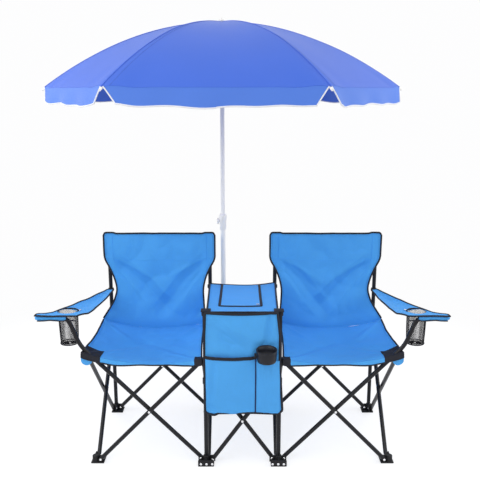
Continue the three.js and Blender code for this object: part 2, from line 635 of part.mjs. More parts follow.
// The bag's side outline, between two heights: its cold box steps back over the middle scissor.
const lowOutline = (inset, top) => [
  [bag.stepY + inset, bag.low + inset], [bag.back - inset, bag.low + inset],
  [bag.back - inset, top], [bag.front + inset, top],
  [bag.front + inset, bag.stepZ + inset], [bag.stepY + inset, bag.stepZ + inset],
];
const highOutline = (inset, floor, under) => [
  [bag.front + inset, floor], [bag.back - inset, floor],
  [bag.back - inset, bagTopAt(bag.back - inset) - under],
  [bag.front + inset, bagTopAt(bag.front + inset) - under],
];
const coldBoxOutside = join(
  prismAlongX(lowOutline(0, bag.widenZ), -bag.lowHalf, bag.lowHalf),
  prismAlongX(highOutline(0, bag.widenZ, 0), -bag.highHalf, bag.highHalf),
);
const coldBoxInside = join(
  prismAlongX(lowOutline(bag.wall, bag.widenZ + bag.wall), bag.wall - bag.lowHalf, bag.lowHalf - bag.wall),
  prismAlongX(highOutline(bag.wall, bag.widenZ + bag.wall, bag.top),
    bag.wall - bag.highHalf, bag.highHalf - bag.wall),
);
// The apron is the bag's front panel, which hangs before the posts and the middle scissor.
const apron = box([-bag.apronHalf, bag.apronHalf], [bag.front, bag.front + bag.apron],
  [bag.low, bag.frontTop]);

// A strap loop round a post, and the strap to the bag's side.
function bagLoop(side, y, low) {
  const high = low + bag.loopHeight;
  const inner = innerX - bag.loopHalf;
  const strapY = y > 0 ? bag.back - bag.strapHalf : y;
  return cut(
    join(
      box([side * inner, side * (innerX + bag.loopHalf)], [y - bag.loopHalf, y + bag.loopHalf], [low, high]),
      box([side * (bag.highHalf - bag.wall / 2), side * (inner + overrun)],
        [strapY - bag.strapHalf, strapY + bag.strapHalf], [low, high]),
    ),
    pipe([point(side * innerX, y, low - overrun), point(side * innerX, y, high + overrun)], bore),
  );
}

// A flat pocket on the apron, open at the top.
function pouch(left, right, high) {
  const front = bag.front - pocket.deep;
  const inside = bag.front + overrun / 4;
  return {
    outside: box([left, right], [front, inside], [pocket.low, high]),
    hollow: box([left + pocket.wall, right - pocket.wall], [front + pocket.wall, bag.front],
      [pocket.low + pocket.wall, high + overrun]),
  };
}

const leftPouch = pouch(-pocket.left, pocket.divide, pocket.high);
const rightPouch = pouch(pocket.divide + pocket.gap, pocket.right, bottleRing.low - pocket.wall);
const ringCentre = point(bottleRing.x, bag.front - bottleRing.out, 0);
const ringBore = bottleRing.radius - bottleRing.wall;
const bottleLoop = cut(
  turned([
    [ringBore, bottleRing.low], [bottleRing.radius, bottleRing.low],
    [bottleRing.radius, bottleRing.high], [ringBore, bottleRing.high], [ringBore, bottleRing.low],
  ], ringCentre, point(0, 0, 1), bottleRing.sides),
  box([0, 2 * bottleRing.x], [bag.front + overrun / 2, bag.back],
    [bottleRing.low - overrun, bottleRing.high + overrun]),
);
const lidHole = box([lid.left - lid.gap, lid.right + lid.gap], [lid.front - lid.gap, lid.back + lid.gap],
  [bag.backTop - bag.top - overrun, bag.frontTop + overrun]);
const bagLoops = [-1, 1].flatMap((side) => [
  bagLoop(side, 0, bag.loopFrontZ),
  bagLoop(side, depth, bag.loopBackZ),
]);
const coldBox = cut(
  join(coldBoxOutside, apron, leftPouch.outside, rightPouch.outside),
  coldBoxInside, leftPouch.hollow, rightPouch.hollow, lidHole,
);
place("cooler_body", join(coldBox, bottleLoop, ...bagLoops), "blueCloth");

const lidOutline = [
  [lid.front, bagTopAt(lid.front) - bag.top], [lid.back, bagTopAt(lid.back) - bag.top],
  [lid.back, bagTopAt(lid.back)], [lid.front, bagTopAt(lid.front)],
];
place("cooler_lid", prismAlongX(lidOutline, lid.left, lid.right), "blueCloth");

// Parasol.

const poleAt = (z) => point(pole.x, pole.y, z);
const up = point(0, 0, 1);
place("umbrella_lower_pole",
  pipe([poleAt(lowPole.foot), poleAt(lowPole.top)], pole.lowRadius, pole.lowBore), "whiteTube");

const collarSeat = lowPole.top + clearance;
const knobHole = pipe([poleAt(knob.z), poleAt(knob.z).add(point(-collar.radius - overrun, 0, 0))],
  knob.hole, 0, rivet.sides);
place("umbrella_collar", cut(turned([
  [holder.bore, collar.low], [collar.radius - collar.flare, collar.low],
  [collar.radius, collar.low + collar.taper],
  [collar.radius, collar.high - collar.taper], [collar.end, collar.high], [collar.bore, collar.high],
  [collar.bore, collarSeat], [holder.bore, collarSeat], [holder.bore, collar.low],
], poleAt(0), up, tube.sides), knobHole), "whiteTube");

// The clamping knob on the collar's left, with its wing.
const knobStart = poleAt(knob.z).add(point(-collar.radius - clearance, 0, 0));
const knobTip = pole.x - collar.bore - clearance / 2;
place("umbrella_knob", join(
  turned([[0, 0], [knob.radius, 0], [knob.radius, knob.thick], [0, knob.thick]],
    knobStart, point(-1, 0, 0), tube.sides),
  pipe([point(knobTip, pole.y, knob.z), knobStart.clone().add(point(-clearance, 0, 0))],
    knob.shank, 0, rivet.sides),
  box([knobStart.x - knob.thick / 4, knobStart.x - knob.thick],
    [pole.y - knob.wing, pole.y + knob.wing], [knob.z - knob.wingReach, knob.z + knob.wingReach]),
), "whiteTube");

// The direction of a rib, seen from above. The gore between two ribs faces the front.
const ribAngle = (share) => 2 * Math.PI * share - Math.PI / 2 + Math.PI / 6;
const out = (share, radius, z) =>
  point(pole.x + radius * Math.cos(ribAngle(share)), pole.y + radius * Math.sin(ribAngle(share)), z);
const ribHeight = (radius) => canopy.ribZ - canopy.drop * (radius / canopy.radius) ** 2;
// The places along a rib where it bends; the canopy bends at the same ones.
const bendRadii = Array.from({ length: rib.steps - 1 },
  (unused, step) => mix(rib.pivot, canopy.radius, (step + 1) / rib.steps));

// A ring with a slot for each rib or stretcher.
function slotted(solid, width, slotFrom, low, high) {
  const tools = ribShares.map((share) => {
    const geometry = new THREE.BoxGeometry(crown.radius, width, high - low + 2 * overrun);
    geometry.translate(slotFrom + crown.radius / 2, 0, (low + high) / 2);
    geometry.rotateZ(ribAngle(share));
    geometry.translate(pole.x, pole.y, 0);
    return solidOf(geometry);
  });
  return cut(solid, ...tools);
}

// The upper pole with the crown that holds the ribs, and the cap above the cloth.
const crownLow = canopy.ribZ - crown.under;
const crownHigh = canopy.ribZ + crown.over;
const capLow = canopy.ribZ + canopy.lift + canopy.cloth + finial.over;
const capTop = capLow + finial.high;
const crownDisc = turned([
  [0, crownLow], [crown.radius, crownLow], [crown.radius, crownHigh], [0, crownHigh],
], poleAt(0), up, 2 * tube.sides);
const crownCap = turned([
  [0, crownLow + overrun], [crown.neck, crownLow + overrun], [crown.neck, capLow],
  [crown.cap, capLow], [crown.cap, capLow + overrun], [finial.tip, capTop], [0, capTop],
], poleAt(0), up, tube.sides);
const upperTube = pipe([poleAt(highPole.foot), poleAt(crownLow + overrun)], pole.radius);
const upperHollow = pipe([poleAt(highPole.foot - overrun), poleAt(crownLow)], pole.bore);
const slottedCrown = slotted(crownDisc, crown.slot, crown.slotFrom, crownLow, crownHigh);
place("umbrella_upper_pole", cut(join(slottedCrown, crownCap, upperTube), upperHollow), "whiteTube");

// A rib and its stretcher form a triangle with two equal sides, so the runner keeps to the pole.
const slope = (2 * canopy.drop * rib.joint) / canopy.radius ** 2;
const lean = Math.hypot(1, slope);
const joint = {
  radius: rib.joint - (stretcher.apart * slope) / lean,
  z: ribHeight(rib.joint) - stretcher.apart / lean,
};
const runnerZ = canopy.ribZ - 2 * (canopy.ribZ - joint.z);
const runnerLow = runnerZ - runner.half;
const runnerHigh = runnerZ + runner.half;
const runnerFoot = runnerLow - runner.sleeveLong;
const runnerDisc = turned([
  [0, runnerFoot], [runner.sleeve, runnerFoot], [runner.sleeve, runnerLow],
  [crown.radius, runnerLow], [crown.radius, runnerHigh], [0, runnerHigh],
], poleAt(0), up, 2 * tube.sides);
const runnerBore = pipe([poleAt(runnerFoot - overrun), poleAt(runnerHigh + overrun)], runner.bore);
place("umbrella_runner",
  cut(slotted(runnerDisc, runner.slot, runner.slotFrom, runnerLow, runnerHigh), runnerBore), "whiteTube");

ribShares.forEach((share, i) => {
  const points = [rib.pivot - rib.inside, ...bendRadii, canopy.radius].map((radius) =>
    out(share, radius, ribHeight(Math.max(radius, rib.pivot))));
  const last = points[points.length - 1];
  const along = last.clone().sub(points[points.length - 2]).normalize();
  const end = last.clone().addScaledVector(along, rib.past);
  points[points.length - 1] = end;
  const tipStart = end.clone().addScaledVector(along, -clearance);
  const tip = pipe([tipStart, end.clone().addScaledVector(along, rib.tipLong)], rib.tip, 0, rib.sides);
  place("umbrella_rib_" + (i + 1), join(pipe(points, rib.radius, 0, rib.sides), tip), "whiteTube");
  const low = out(share, rib.pivot, runnerZ);
  const high = out(share, joint.radius, joint.z);
  const inside = low.clone().addScaledVector(low.clone().sub(high).normalize(), stretcher.inside);
  place("umbrella_stretcher_" + (i + 1),
    pipe([inside, high], stretcher.radius, 0, rib.sides), "whiteTube");
});

// A point of the canopy: straight threads run from rib to rib.
function canopyPoint(around, radius, z) {
  const gore = Math.floor(around * ribShares.length + 1e-6);
  const share = around * ribShares.length - gore;
  const first = out(gore / ribShares.length, radius, z);
  return first.lerp(out((gore + 1) / ribShares.length, radius, z), share);
}

// Between two ribs the cloth sags a little. On the ribs, and at the crown and the rim, it doesn't.
const sagAt = (around, along) =>
  canopy.sag * Math.sin(Math.PI * ((around * ribShares.length) % 1)) * Math.sin(Math.PI * along);
const goreColumns = 4;
const canopyRadii = [canopy.hole, ...bendRadii, canopy.radius];
const rows = canopyRadii.length - 1;
const dome = sheet(goreColumns * ribShares.length, rows, (around, along, face) => {
  const radius = canopyRadii[Math.round(along * rows)];
  const z = ribHeight(radius) + canopy.lift + (1 - face) * canopy.cloth - sagAt(around, along);
  return canopyPoint(around, radius, z);
}, true);
const rimHigh = ribHeight(canopy.radius) + canopy.lift + canopy.cloth / 2;
// A valance flap hangs from each gore's edge and narrows to its hem, with one slack wave.
const flaps = ribShares.map((unused, gore) => sheet(4, 1, (across, down, face) => {
  const inset = mix(canopy.valanceTopInset, canopy.valanceInset, down) / canopy.radius;
  const around = (gore + mix(inset, 1 - inset, across)) / ribShares.length;
  const wave = 2 * down * canopy.cloth * Math.cos(2 * Math.PI * across);
  const radius = canopy.radius - canopy.cloth + wave + (1 - face) * canopy.cloth;
  return canopyPoint(around, radius, rimHigh - down * canopy.valance);
}));
place("umbrella_canopy", join(dome, ...flaps), "canopyCloth");

// The origin: under the middle of the whole object.
const extent = new THREE.Box3().setFromObject(group, true);
group.position.set(-(extent.min.x + extent.max.x) / 2, -(extent.min.y + extent.max.y) / 2, -extent.min.z);

export default group;
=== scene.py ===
import json
import math
import bpy
import bmesh
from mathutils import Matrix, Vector, noise

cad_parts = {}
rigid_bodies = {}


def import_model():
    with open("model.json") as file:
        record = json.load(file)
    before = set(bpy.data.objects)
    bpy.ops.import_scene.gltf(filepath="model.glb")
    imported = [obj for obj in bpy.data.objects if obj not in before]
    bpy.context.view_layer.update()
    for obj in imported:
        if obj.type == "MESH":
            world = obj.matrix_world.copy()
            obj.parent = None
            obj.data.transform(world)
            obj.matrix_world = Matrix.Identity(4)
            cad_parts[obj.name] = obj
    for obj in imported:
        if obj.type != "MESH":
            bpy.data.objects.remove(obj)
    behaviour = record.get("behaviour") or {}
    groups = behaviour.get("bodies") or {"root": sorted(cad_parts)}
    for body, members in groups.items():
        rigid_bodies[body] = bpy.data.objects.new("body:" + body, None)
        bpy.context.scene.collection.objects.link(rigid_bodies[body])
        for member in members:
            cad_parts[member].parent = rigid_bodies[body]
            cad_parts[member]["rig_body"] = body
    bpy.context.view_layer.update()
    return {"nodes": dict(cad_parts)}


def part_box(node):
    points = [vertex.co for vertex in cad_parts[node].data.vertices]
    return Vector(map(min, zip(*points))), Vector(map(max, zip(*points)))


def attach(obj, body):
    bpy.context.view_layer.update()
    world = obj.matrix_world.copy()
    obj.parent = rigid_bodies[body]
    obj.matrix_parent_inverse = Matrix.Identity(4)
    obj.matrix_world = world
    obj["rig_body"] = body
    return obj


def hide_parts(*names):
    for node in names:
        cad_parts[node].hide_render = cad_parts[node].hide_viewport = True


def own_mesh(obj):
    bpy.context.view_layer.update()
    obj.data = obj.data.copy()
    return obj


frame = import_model()
bodyOf = {name: piece["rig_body"] for name, piece in frame["nodes"].items()}
footLeft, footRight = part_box("foot_front_left"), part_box("foot_front_right")
footEdge = 0.016  # from a front foot's edge to the middle of its tubes
middleX = (footLeft[0][0] + footRight[1][0]) / 2
frontY = footLeft[0][1] + footEdge
hands = (("left", -1), ("right", 1))
print("frame loaded")


# Places are written in millimetres: x from the middle, y from the front posts, z from the ground.
def at(x, y, z):
    return Vector((x / 1000 + middleX, y / 1000 + frontY, z / 1000))


def mix(a, b, share):
    return a + (b - a) * share


def clamp(value, low=0.0, high=1.0):
    return max(low, min(high, value))


def smooth(value):
    value = clamp(value)
    return value * value * (3 - 2 * value)


def along(pairs, value):
    # Reads (place, size) pairs: straight between them, and level beyond their ends.
    if value <= pairs[0][0]:
        return pairs[0][1]
    for (x0, y0), (x1, y1) in zip(pairs, pairs[1:]):
        if value <= x1:
            return mix(y0, y1, (value - x0) / (x1 - x0))
    return pairs[-1][1]


def arch(share):
    # Rises from 0 to 1 and falls back to 0 as the share goes from 0 to 1.
    return math.sin(math.pi * share)


def dome(u, v):
    # 1 in the middle of a sheet and 0 on its rim.
    return (1 - (2 * u - 1) ** 2) * (1 - (2 * v - 1) ** 2)


def rumple(x, y, z, size, seed=0.0):
    return noise.noise(Vector((x / size + seed, y / size - seed, z / size + 2 * seed)))


# Materials: groups that several finishes share, then one material for each finish.

def newTree(kind, name, inputs, outputs):
    # Inputs are (name, kind, starting value), outputs are (name, kind).
    tree = bpy.data.node_groups.new(name, kind)
    for socket, sort, value in inputs:
        made = tree.interface.new_socket(socket, in_out="INPUT", socket_type="NodeSocket" + sort)
        if value is not None:
            made.default_value = value
    for socket, sort in outputs:
        tree.interface.new_socket(socket, in_out="OUTPUT", socket_type="NodeSocket" + sort)
    return tree, tree.nodes.new("NodeGroupInput"), tree.nodes.new("NodeGroupOutput")


def node(tree, kind, **values):
    made = tree.nodes.new(kind)
    for key, value in values.items():
        if hasattr(made, key):
            setattr(made, key, value)
        else:
            made.inputs[key.replace("_", " ")].default_value = value
    return made


def maths(tree, operation, first, second=None):
    made = tree.nodes.new("ShaderNodeMath")
    made.operation = operation
    for socket, value in zip(made.inputs, (first, second)):
        if isinstance(value, (int, float)):
            socket.default_value = value
        elif value is not None:
            tree.links.new(value, socket)
    return made.outputs[0]


def wire(tree, *pairs):
    for start, end in pairs:
        tree.links.new(start, end)


def sumsOf(tree):
    # The sums that the groups use most: add, take away and multiply.
    return [lambda a, b, kind=kind: maths(tree, kind, a, b) for kind in ("ADD", "SUBTRACT", "MULTIPLY")]


surfaceOutputs = [("Color", "Color"), ("Height", "Float"), ("Roughness", "Float")]
weaveLook = {
    "slantAcross": 0.37, "slantDown": 0.93, "thread": 0.12, "slubSize": 160.0, "slubShare": 0.7,
    "rough": 0.66, "roughMore": 0.22,
}


def buildWeave():
    # A plain weave of two crossing thread bands, with slubs, and the cloth's own soft crumple.
    look = weaveLook
    group, inner, outer = newTree("ShaderNodeTree", "wovenCloth", [
        ("Threads", "Float", 900.0), ("Crumple", "Float", 14.0), ("Shade", "Float", 0.12),
        ("Tint", "Color", (0.1, 0.3, 0.8, 1))], surfaceOutputs)
    add, less, times = sumsOf(group)
    place = node(group, "ShaderNodeTexCoord").outputs["Object"]
    parts = node(group, "ShaderNodeSeparateXYZ")
    crumple = node(group, "ShaderNodeTexNoise", Detail=3.0, Roughness=0.55)
    slub = node(group, "ShaderNodeTexNoise", Scale=look["slubSize"], Detail=2.0)
    wire(group, (place, parts.inputs[0]), (place, crumple.inputs["Vector"]), (place, slub.inputs["Vector"]),
         (inner.outputs["Crumple"], crumple.inputs["Scale"]))
    # Both thread directions slant with y, so that no side of a piece is without threads.
    across = add(parts.outputs["X"], times(parts.outputs["Y"], look["slantAcross"]))
    down = add(parts.outputs["Z"], times(parts.outputs["Y"], look["slantDown"]))
    warp, weft = [maths(group, "SINE", times(way, inner.outputs["Threads"])) for way in (across, down)]
    height = add(times(times(warp, weft), look["thread"]), crumple.outputs[0])
    light = add(less(crumple.outputs[0], 0.5), times(less(slub.outputs[0], 0.5), look["slubShare"]))
    tone = node(group, "ShaderNodeHueSaturation")
    rough = add(look["rough"], times(slub.outputs[0], look["roughMore"]))
    shade = add(1.0, times(light, inner.outputs["Shade"]))
    wire(group, (shade, tone.inputs["Value"]), (inner.outputs["Tint"], tone.inputs["Color"]),
         (tone.outputs[0], outer.inputs["Color"]), (height, outer.inputs["Height"]),
         (rough, outer.inputs["Roughness"]))
    return group


def buildGrain():
    # Fine mottling of paint or moulded plastic, with a little dust in broad patches.
    group, inner, outer = newTree("ShaderNodeTree", "surfaceGrain", [
        ("Grain", "Float", 900.0), ("Patches", "Float", 9.0), ("Base roughness", "Float", 0.4),
        ("Spread", "Float", 0.15), ("Tint", "Color", (0.05, 0.05, 0.05, 1)), ("Dust", "Float", 0.1)], surfaceOutputs)
    add, less, times = sumsOf(group)
    place = node(group, "ShaderNodeTexCoord").outputs["Object"]
    fine = node(group, "ShaderNodeTexNoise", Detail=2.0)
    broad = node(group, "ShaderNodeTexNoise", Detail=4.0, Roughness=0.6)
    for texture, size in ((fine, "Grain"), (broad, "Patches")):
        wire(group, (place, texture.inputs["Vector"]), (inner.outputs[size], texture.inputs["Scale"]))
    swing = times(less(broad.outputs[0], 0.5), inner.outputs["Spread"])
    dusty = node(group, "ShaderNodeMix", data_type="RGBA")
    dusty.inputs["B"].default_value = (0.42, 0.41, 0.4, 1)
    amount = times(maths(group, "POWER", broad.outputs[0], 2.0), inner.outputs["Dust"])
    wire(group, (fine.outputs[0], outer.inputs["Height"]), (amount, dusty.inputs["Factor"]),
         (add(inner.outputs["Base roughness"], swing), outer.inputs["Roughness"]),
         (inner.outputs["Tint"], dusty.inputs["A"]), (dusty.outputs["Result"], outer.inputs["Color"]))
    return group


wovenCloth, surfaceGrain = buildWeave(), buildGrain()


def newMaterial(name, group, groupValues, bump, distance, **shader):
    material = bpy.data.materials.new(name)
    material.use_nodes = True
    tree = material.node_tree
    principled = tree.nodes["Principled BSDF"]
    detail = tree.nodes.new("ShaderNodeGroup")
    detail.node_tree = group
    for key, value in groupValues.items():
        detail.inputs[key].default_value = value
    relief = node(tree, "ShaderNodeBump", Strength=bump, Distance=distance)
    wire(tree, (detail.outputs["Height"], relief.inputs["Height"]), (relief.outputs[0], principled.inputs["Normal"]),
         (detail.outputs["Color"], principled.inputs["Base Color"]),
         (detail.outputs["Roughness"], principled.inputs["Roughness"]))
    for key, value in shader.items():
        principled.inputs[key.replace("_", " ")].default_value = value
    material.diffuse_color = groupValues["Tint"]
    return material


def clothMaterial(name, tint, crumple=14.0, shade=0.12, bump=0.25, distance=0.004, sheen=0.25, gloss=0.35):
    values = {"Threads": 4200.0, "Crumple": crumple, "Shade": shade, "Tint": (*tint, 1)}
    return newMaterial(name, wovenCloth, values, bump, distance, Sheen_Weight=sheen, Sheen_Roughness=0.45,
                       Specular_IOR_Level=gloss)


def hardMaterial(name, tint, rough, grain=900.0, bump=0.1, dust=0.1, spread=0.15, **shader):
    values = {"Grain": grain, "Base roughness": rough, "Spread": spread, "Tint": (*tint, 1), "Dust": dust}
    return newMaterial(name, surfaceGrain, values, bump, 0.0005, **shader)


tapeLook = {"crumple": 40.0, "shade": 0.3, "distance": 0.001, "sheen": 0.0}
clothLooks = {
    "seatCloth": {"tint": (0.072, 0.372, 0.84), "sheen": 0.03},
    "canopyCloth": {"tint": (0.045, 0.14, 0.68), "crumple": 7.0, "shade": 0.08, "bump": 0.14, "sheen": 0.2},
    # The valance is the canopy's own cloth in a lighter tint: painted light, for the light that shows through it and
    # falls on its front.
    "valanceCloth": {"tint": (0.08, 0.20, 0.70), "crumple": 9.0, "shade": 0.08, "bump": 0.16, "sheen": 0.2},
    "blackTape": {**tapeLook, "tint": (0.012, 0.013, 0.020)},
    "navyTape": {**tapeLook, "tint": (0.012, 0.022, 0.09)},
    "blueThread": {**tapeLook, "tint": (0.035, 0.19, 0.5), "shade": 0.2, "distance": 0.0005},
    "whiteTape": {**tapeLook, "tint": (0.80, 0.81, 0.84), "shade": 0.1, "sheen": 0.25},
    "blackNet": {**tapeLook, "tint": (0.012, 0.012, 0.015), "crumple": 60.0, "distance": 0.0005, "gloss": 0.12},
}
hardLooks = {
    "blackPaint": {"tint": (0.011, 0.011, 0.014), "rough": 0.34, "spread": 0.18, "dust": 0.02,
                   "Coat_Weight": 0.16, "Coat_Roughness": 0.12, "Specular_IOR_Level": 0.14},
    "blackMoulding": {"tint": (0.011, 0.011, 0.013), "rough": 0.5, "grain": 700.0, "bump": 0.3, "dust": 0.05,
                      "Specular_IOR_Level": 0.2},
    "brightSteel": {"tint": (0.78, 0.78, 0.80), "rough": 0.22, "dust": 0.05, "Metallic": 1.0},
    "whitePaint": {"tint": (0.90, 0.895, 0.88), "rough": 0.4, "dust": 0.02,
                   "Coat_Weight": 0.15, "Coat_Roughness": 0.2},
    "whiteMoulding": {"tint": (0.87, 0.865, 0.85), "rough": 0.4, "grain": 500.0, "dust": 0.02},
    "glossBand": {"tint": (0.007, 0.008, 0.014), "rough": 0.34, "dust": 0.02, "Specular_IOR_Level": 0.3},
}
finishes = {name: clothMaterial(name, **look) for name, look in clothLooks.items()}
finishes.update((name, hardMaterial(name, **look)) for name, look in hardLooks.items())
print("materials ready")


# Meshes: blocks, turned shapes, sheets and soft tubes.

def linked(name, data):
    made = bpy.data.objects.new(name, data)
    bpy.context.collection.objects.link(made)
    return made


def pointObject(name, points, edges=(), faces=()):
    mesh = bpy.data.meshes.new(name)
    mesh.from_pydata([tuple(p) for p in points], edges, faces)
    return linked(name, mesh)


def smoothed(made, sharpAngle=None):
    for polygon in made.data.polygons:
        polygon.use_smooth = True
    if sharpAngle:
        made.data.set_sharp_from_angle(angle=sharpAngle)
    return made


def meshObject(name, points, faces, finish):
    made = pointObject(name, points, (), faces)
    made.data.materials.append(finishes[finish])
    return smoothed(made)


def plain(made):
    # Turns a piece and its modifiers into a plain mesh.
    bpy.context.view_layer.update()
    graph = bpy.context.evaluated_depsgraph_get()
    mesh = bpy.data.meshes.new_from_object(made.evaluated_get(graph), depsgraph=graph)
    mesh.name = made.name
    made.modifiers.clear()
    made.data = mesh
    return made


def joined(name, pieces):
    # Joins objects into the first one, keeping each one's finish.
    bpy.ops.object.select_all(action="DESELECT")
    for one in pieces:
        one.select_set(True)
    bpy.context.view_layer.objects.active = pieces[0]
    if len(pieces) > 1:
        bpy.ops.object.join()
    pieces[0].name = name
    pieces[0].data.name = name
    return pieces[0]


def mended(made, weld=0.0, outward=True):
    # Drops loose points, welds close ones, and turns the faces outward.
    mesh = bmesh.new()
    mesh.from_mesh(made.data)
    bmesh.ops.delete(mesh, geom=[v for v in mesh.verts if not v.link_faces], context="VERTS")
    if weld:
        bmesh.ops.remove_doubles(mesh, verts=mesh.verts, dist=weld)
    if outward:
        bmesh.ops.recalc_face_normals(mesh, faces=mesh.faces)
    mesh.to_mesh(made.data)
    mesh.free()
    return made


def bevelled(made, width):
    bevel = made.modifiers.new("bevel", "BEVEL")
    bevel.width, bevel.segments, bevel.angle_limit = width / 1000, 3, 0.6
    return plain(made)


def walled(made, thick, offset=0):
    wall = made.modifiers.new("wall", "SOLIDIFY")
    wall.thickness, wall.offset = thick / 1000, offset
    return plain(made)


def blockPiece(name, low, high, finish, rounding):
    points = [at(x, y, z) for x in (low[0], high[0]) for y in (low[1], high[1]) for z in (low[2], high[2])]
    faces = [(0, 1, 3, 2), (4, 6, 7, 5), (0, 4, 5, 1), (2, 3, 7, 6), (0, 2, 6, 4), (1, 5, 7, 3)]
    return bevelled(mended(meshObject(name, points, faces, finish)), rounding)


def turnedPiece(name, profile, base, finish, sides=32, axis=(0, 0, 1)):
    # Turns (radius, height) pairs round an axis. A profile that ends on the axis is closed there.
    direction = Vector(axis).normalized()
    helper = Vector((1, 0, 0)) if abs(direction.x) < 0.9 else Vector((0, 1, 0))
    side = direction.cross(helper).normalized()
    front = direction.cross(side)
    start = at(*base)
    points, rings, faces = [], [], []
    for radius, height in profile:
        centre = start + direction * height / 1000
        if radius == 0:
            rings.append([len(points)])
            points.append(centre)
            continue
        rings.append(list(range(len(points), len(points) + sides)))
        for k in range(sides):
            turn = 2 * math.pi * k / sides
            points.append(centre + (side * math.cos(turn) + front * math.sin(turn)) * radius / 1000)
    if profile[0] == profile[-1] and profile[0][0] > 0:
        rings[-1] = rings[0]
    for first, second in zip(rings, rings[1:]):
        for k in range(sides):
            n = (k + 1) % sides
            if len(first) == 1 and len(second) > 1:
                faces.append((first[0], second[k], second[n]))
            elif len(second) == 1 and len(first) > 1:
                faces.append((first[k], second[0], first[n]))
            elif len(first) > 1:
                faces.append((first[k], second[k], second[n], first[n]))
    made = mended(meshObject(name, points, faces, finish))
    made.data.set_sharp_from_angle(angle=0.7)
    return made


def gridFaces(columns, rows):
    step = columns + 1
    return [(j * step + i, j * step + i + 1, (j + 1) * step + i + 1, (j + 1) * step + i)
            for j in range(rows) for i in range(columns)]


def ringFaces(count, rings):
    # The faces between closed rings of points.
    return [(k * count + n, k * count + (n + 1) % count, (k + 1) * count + (n + 1) % count, (k + 1) * count + n)
            for k in range(rings - 1) for n in range(count)]


def clothGrid(name, columns, rows, where, finish, thick):
    # A sheet through where(across, along), both from 0 to 1. A thickness gives it both of its walls.
    points = [where(i / columns, j / rows) for j in range(rows + 1) for i in range(columns + 1)]
    made = meshObject(name, points, gridFaces(columns, rows), finish)
    if thick:
        walled(made, thick)
        made.data.set_sharp_from_angle(angle=1.1)
    return made


def softTube(name, rings, tip, finish):
    # Cloth through rings of points, closed at its far end by one more point.
    count = len(rings[0])
    points = [p for ring in rings for p in ring] + [tip]
    last = (len(rings) - 1) * count
    faces = ringFaces(count, len(rings))
    faces += [(last + n, last + (n + 1) % count, len(points) - 1) for n in range(count)]
    return mended(meshObject(name, points, faces, finish))


def circle(x, y, z, radius, count, phase=0):
    turns = [2 * math.pi * (k + phase) / count for k in range(count)]
    return [at(x + radius * math.cos(t), y + radius * math.sin(t), z) for t in turns]


def rimOf(where, lift, corners, steps, closed=False):
    # Points along a sheet's rim: through (across, along) corners, with a number of steps for each run.
    rim = [where(*corners[0], lift)]
    for (u0, v0), (u1, v1), count in zip(corners, corners[1:], steps):
        rim += [where(mix(u0, u1, k / count), mix(v0, v1, k / count), lift) for k in range(1, count + 1)]
    return rim[:-1] if closed else rim


# Node trees: a tube along a path, a net of threads, and heads or stitches set along points.

def newShapeTree(name, inputs):
    return newTree("GeometryNodeTree", name, [("Geometry", "Geometry", None), *inputs, ("Finish", "Material", None)],
                   [("Geometry", "Geometry")])


def endTree(tree, inner, outer, shape):
    real = tree.nodes.new("GeometryNodeRealizeInstances")
    look = tree.nodes.new("GeometryNodeSetMaterial")
    wire(tree, (shape, real.inputs[0]), (real.outputs[0], look.inputs["Geometry"]),
         (inner.outputs["Finish"], look.inputs["Material"]), (look.outputs[0], outer.inputs[0]))
    return tree


def runTree(made, tree, values):
    modifier = made.modifiers.new("shape", "NODES")
    modifier.node_group = tree
    sockets = {item.name: item.identifier for item in tree.interface.items_tree
               if item.item_type == "SOCKET" and item.in_out == "INPUT"}
    for key, value in values.items():
        modifier[sockets[key]] = value
    return plain(made)


def buildTubeTree(name, capped):
    # Draws a round thread or tube along the edges of a mesh.
    tree, inner, outer = newShapeTree(name, [("Radius", "Float", 0.008), ("Sides", "Int", 16)])
    path = tree.nodes.new("GeometryNodeMeshToCurve")
    ring = tree.nodes.new("GeometryNodeCurvePrimitiveCircle")
    tube = tree.nodes.new("GeometryNodeCurveToMesh")
    tube.inputs["Fill Caps"].default_value = capped
    wire(tree, (inner.outputs["Geometry"], path.inputs["Mesh"]), (inner.outputs["Radius"], ring.inputs["Radius"]),
         (inner.outputs["Sides"], ring.inputs["Resolution"]), (path.outputs[0], tube.inputs["Curve"]),
         (ring.outputs["Curve"], tube.inputs["Profile Curve"]))
    return endTree(tree, inner, outer, tube.outputs[0])


def buildStudTree():
    # Sets a small shape on every point, turned to the point's own direction.
    tree, inner, outer = newShapeTree("studsOnPoints", [("Shape", "Object", None)])
    shape = tree.nodes.new("GeometryNodeObjectInfo")
    aim = tree.nodes.new("GeometryNodeInputNamedAttribute")
    aim.data_type = "FLOAT_VECTOR"
    aim.inputs["Name"].default_value = "aim"
    turn = tree.nodes.new("FunctionNodeAlignEulerToVector")
    turn.axis = "Z"
    spots = tree.nodes.new("GeometryNodeInstanceOnPoints")
    wire(tree, (inner.outputs["Shape"], shape.inputs["Object"]), (aim.outputs["Attribute"], turn.inputs["Vector"]),
         (inner.outputs["Geometry"], spots.inputs["Points"]), (shape.outputs["Geometry"], spots.inputs["Instance"]),
         (turn.outputs[0], spots.inputs["Rotation"]))
    return endTree(tree, inner, outer, spots.outputs[0])


tubeTree, netTree = buildTubeTree("tubeAlongPath", True), buildTubeTree("netOfThreads", False)
studTree = buildStudTree()


def tubePiece(name, points, radius, finish, sides=16, closed=False):
    edges = [(k, k + 1) for k in range(len(points) - 1)] + ([(len(points) - 1, 0)] if closed else [])
    made = runTree(pointObject(name, points, edges), tubeTree,
                   {"Radius": radius / 1000, "Sides": sides, "Finish": finishes[finish]})
    return smoothed(made, 1.0)


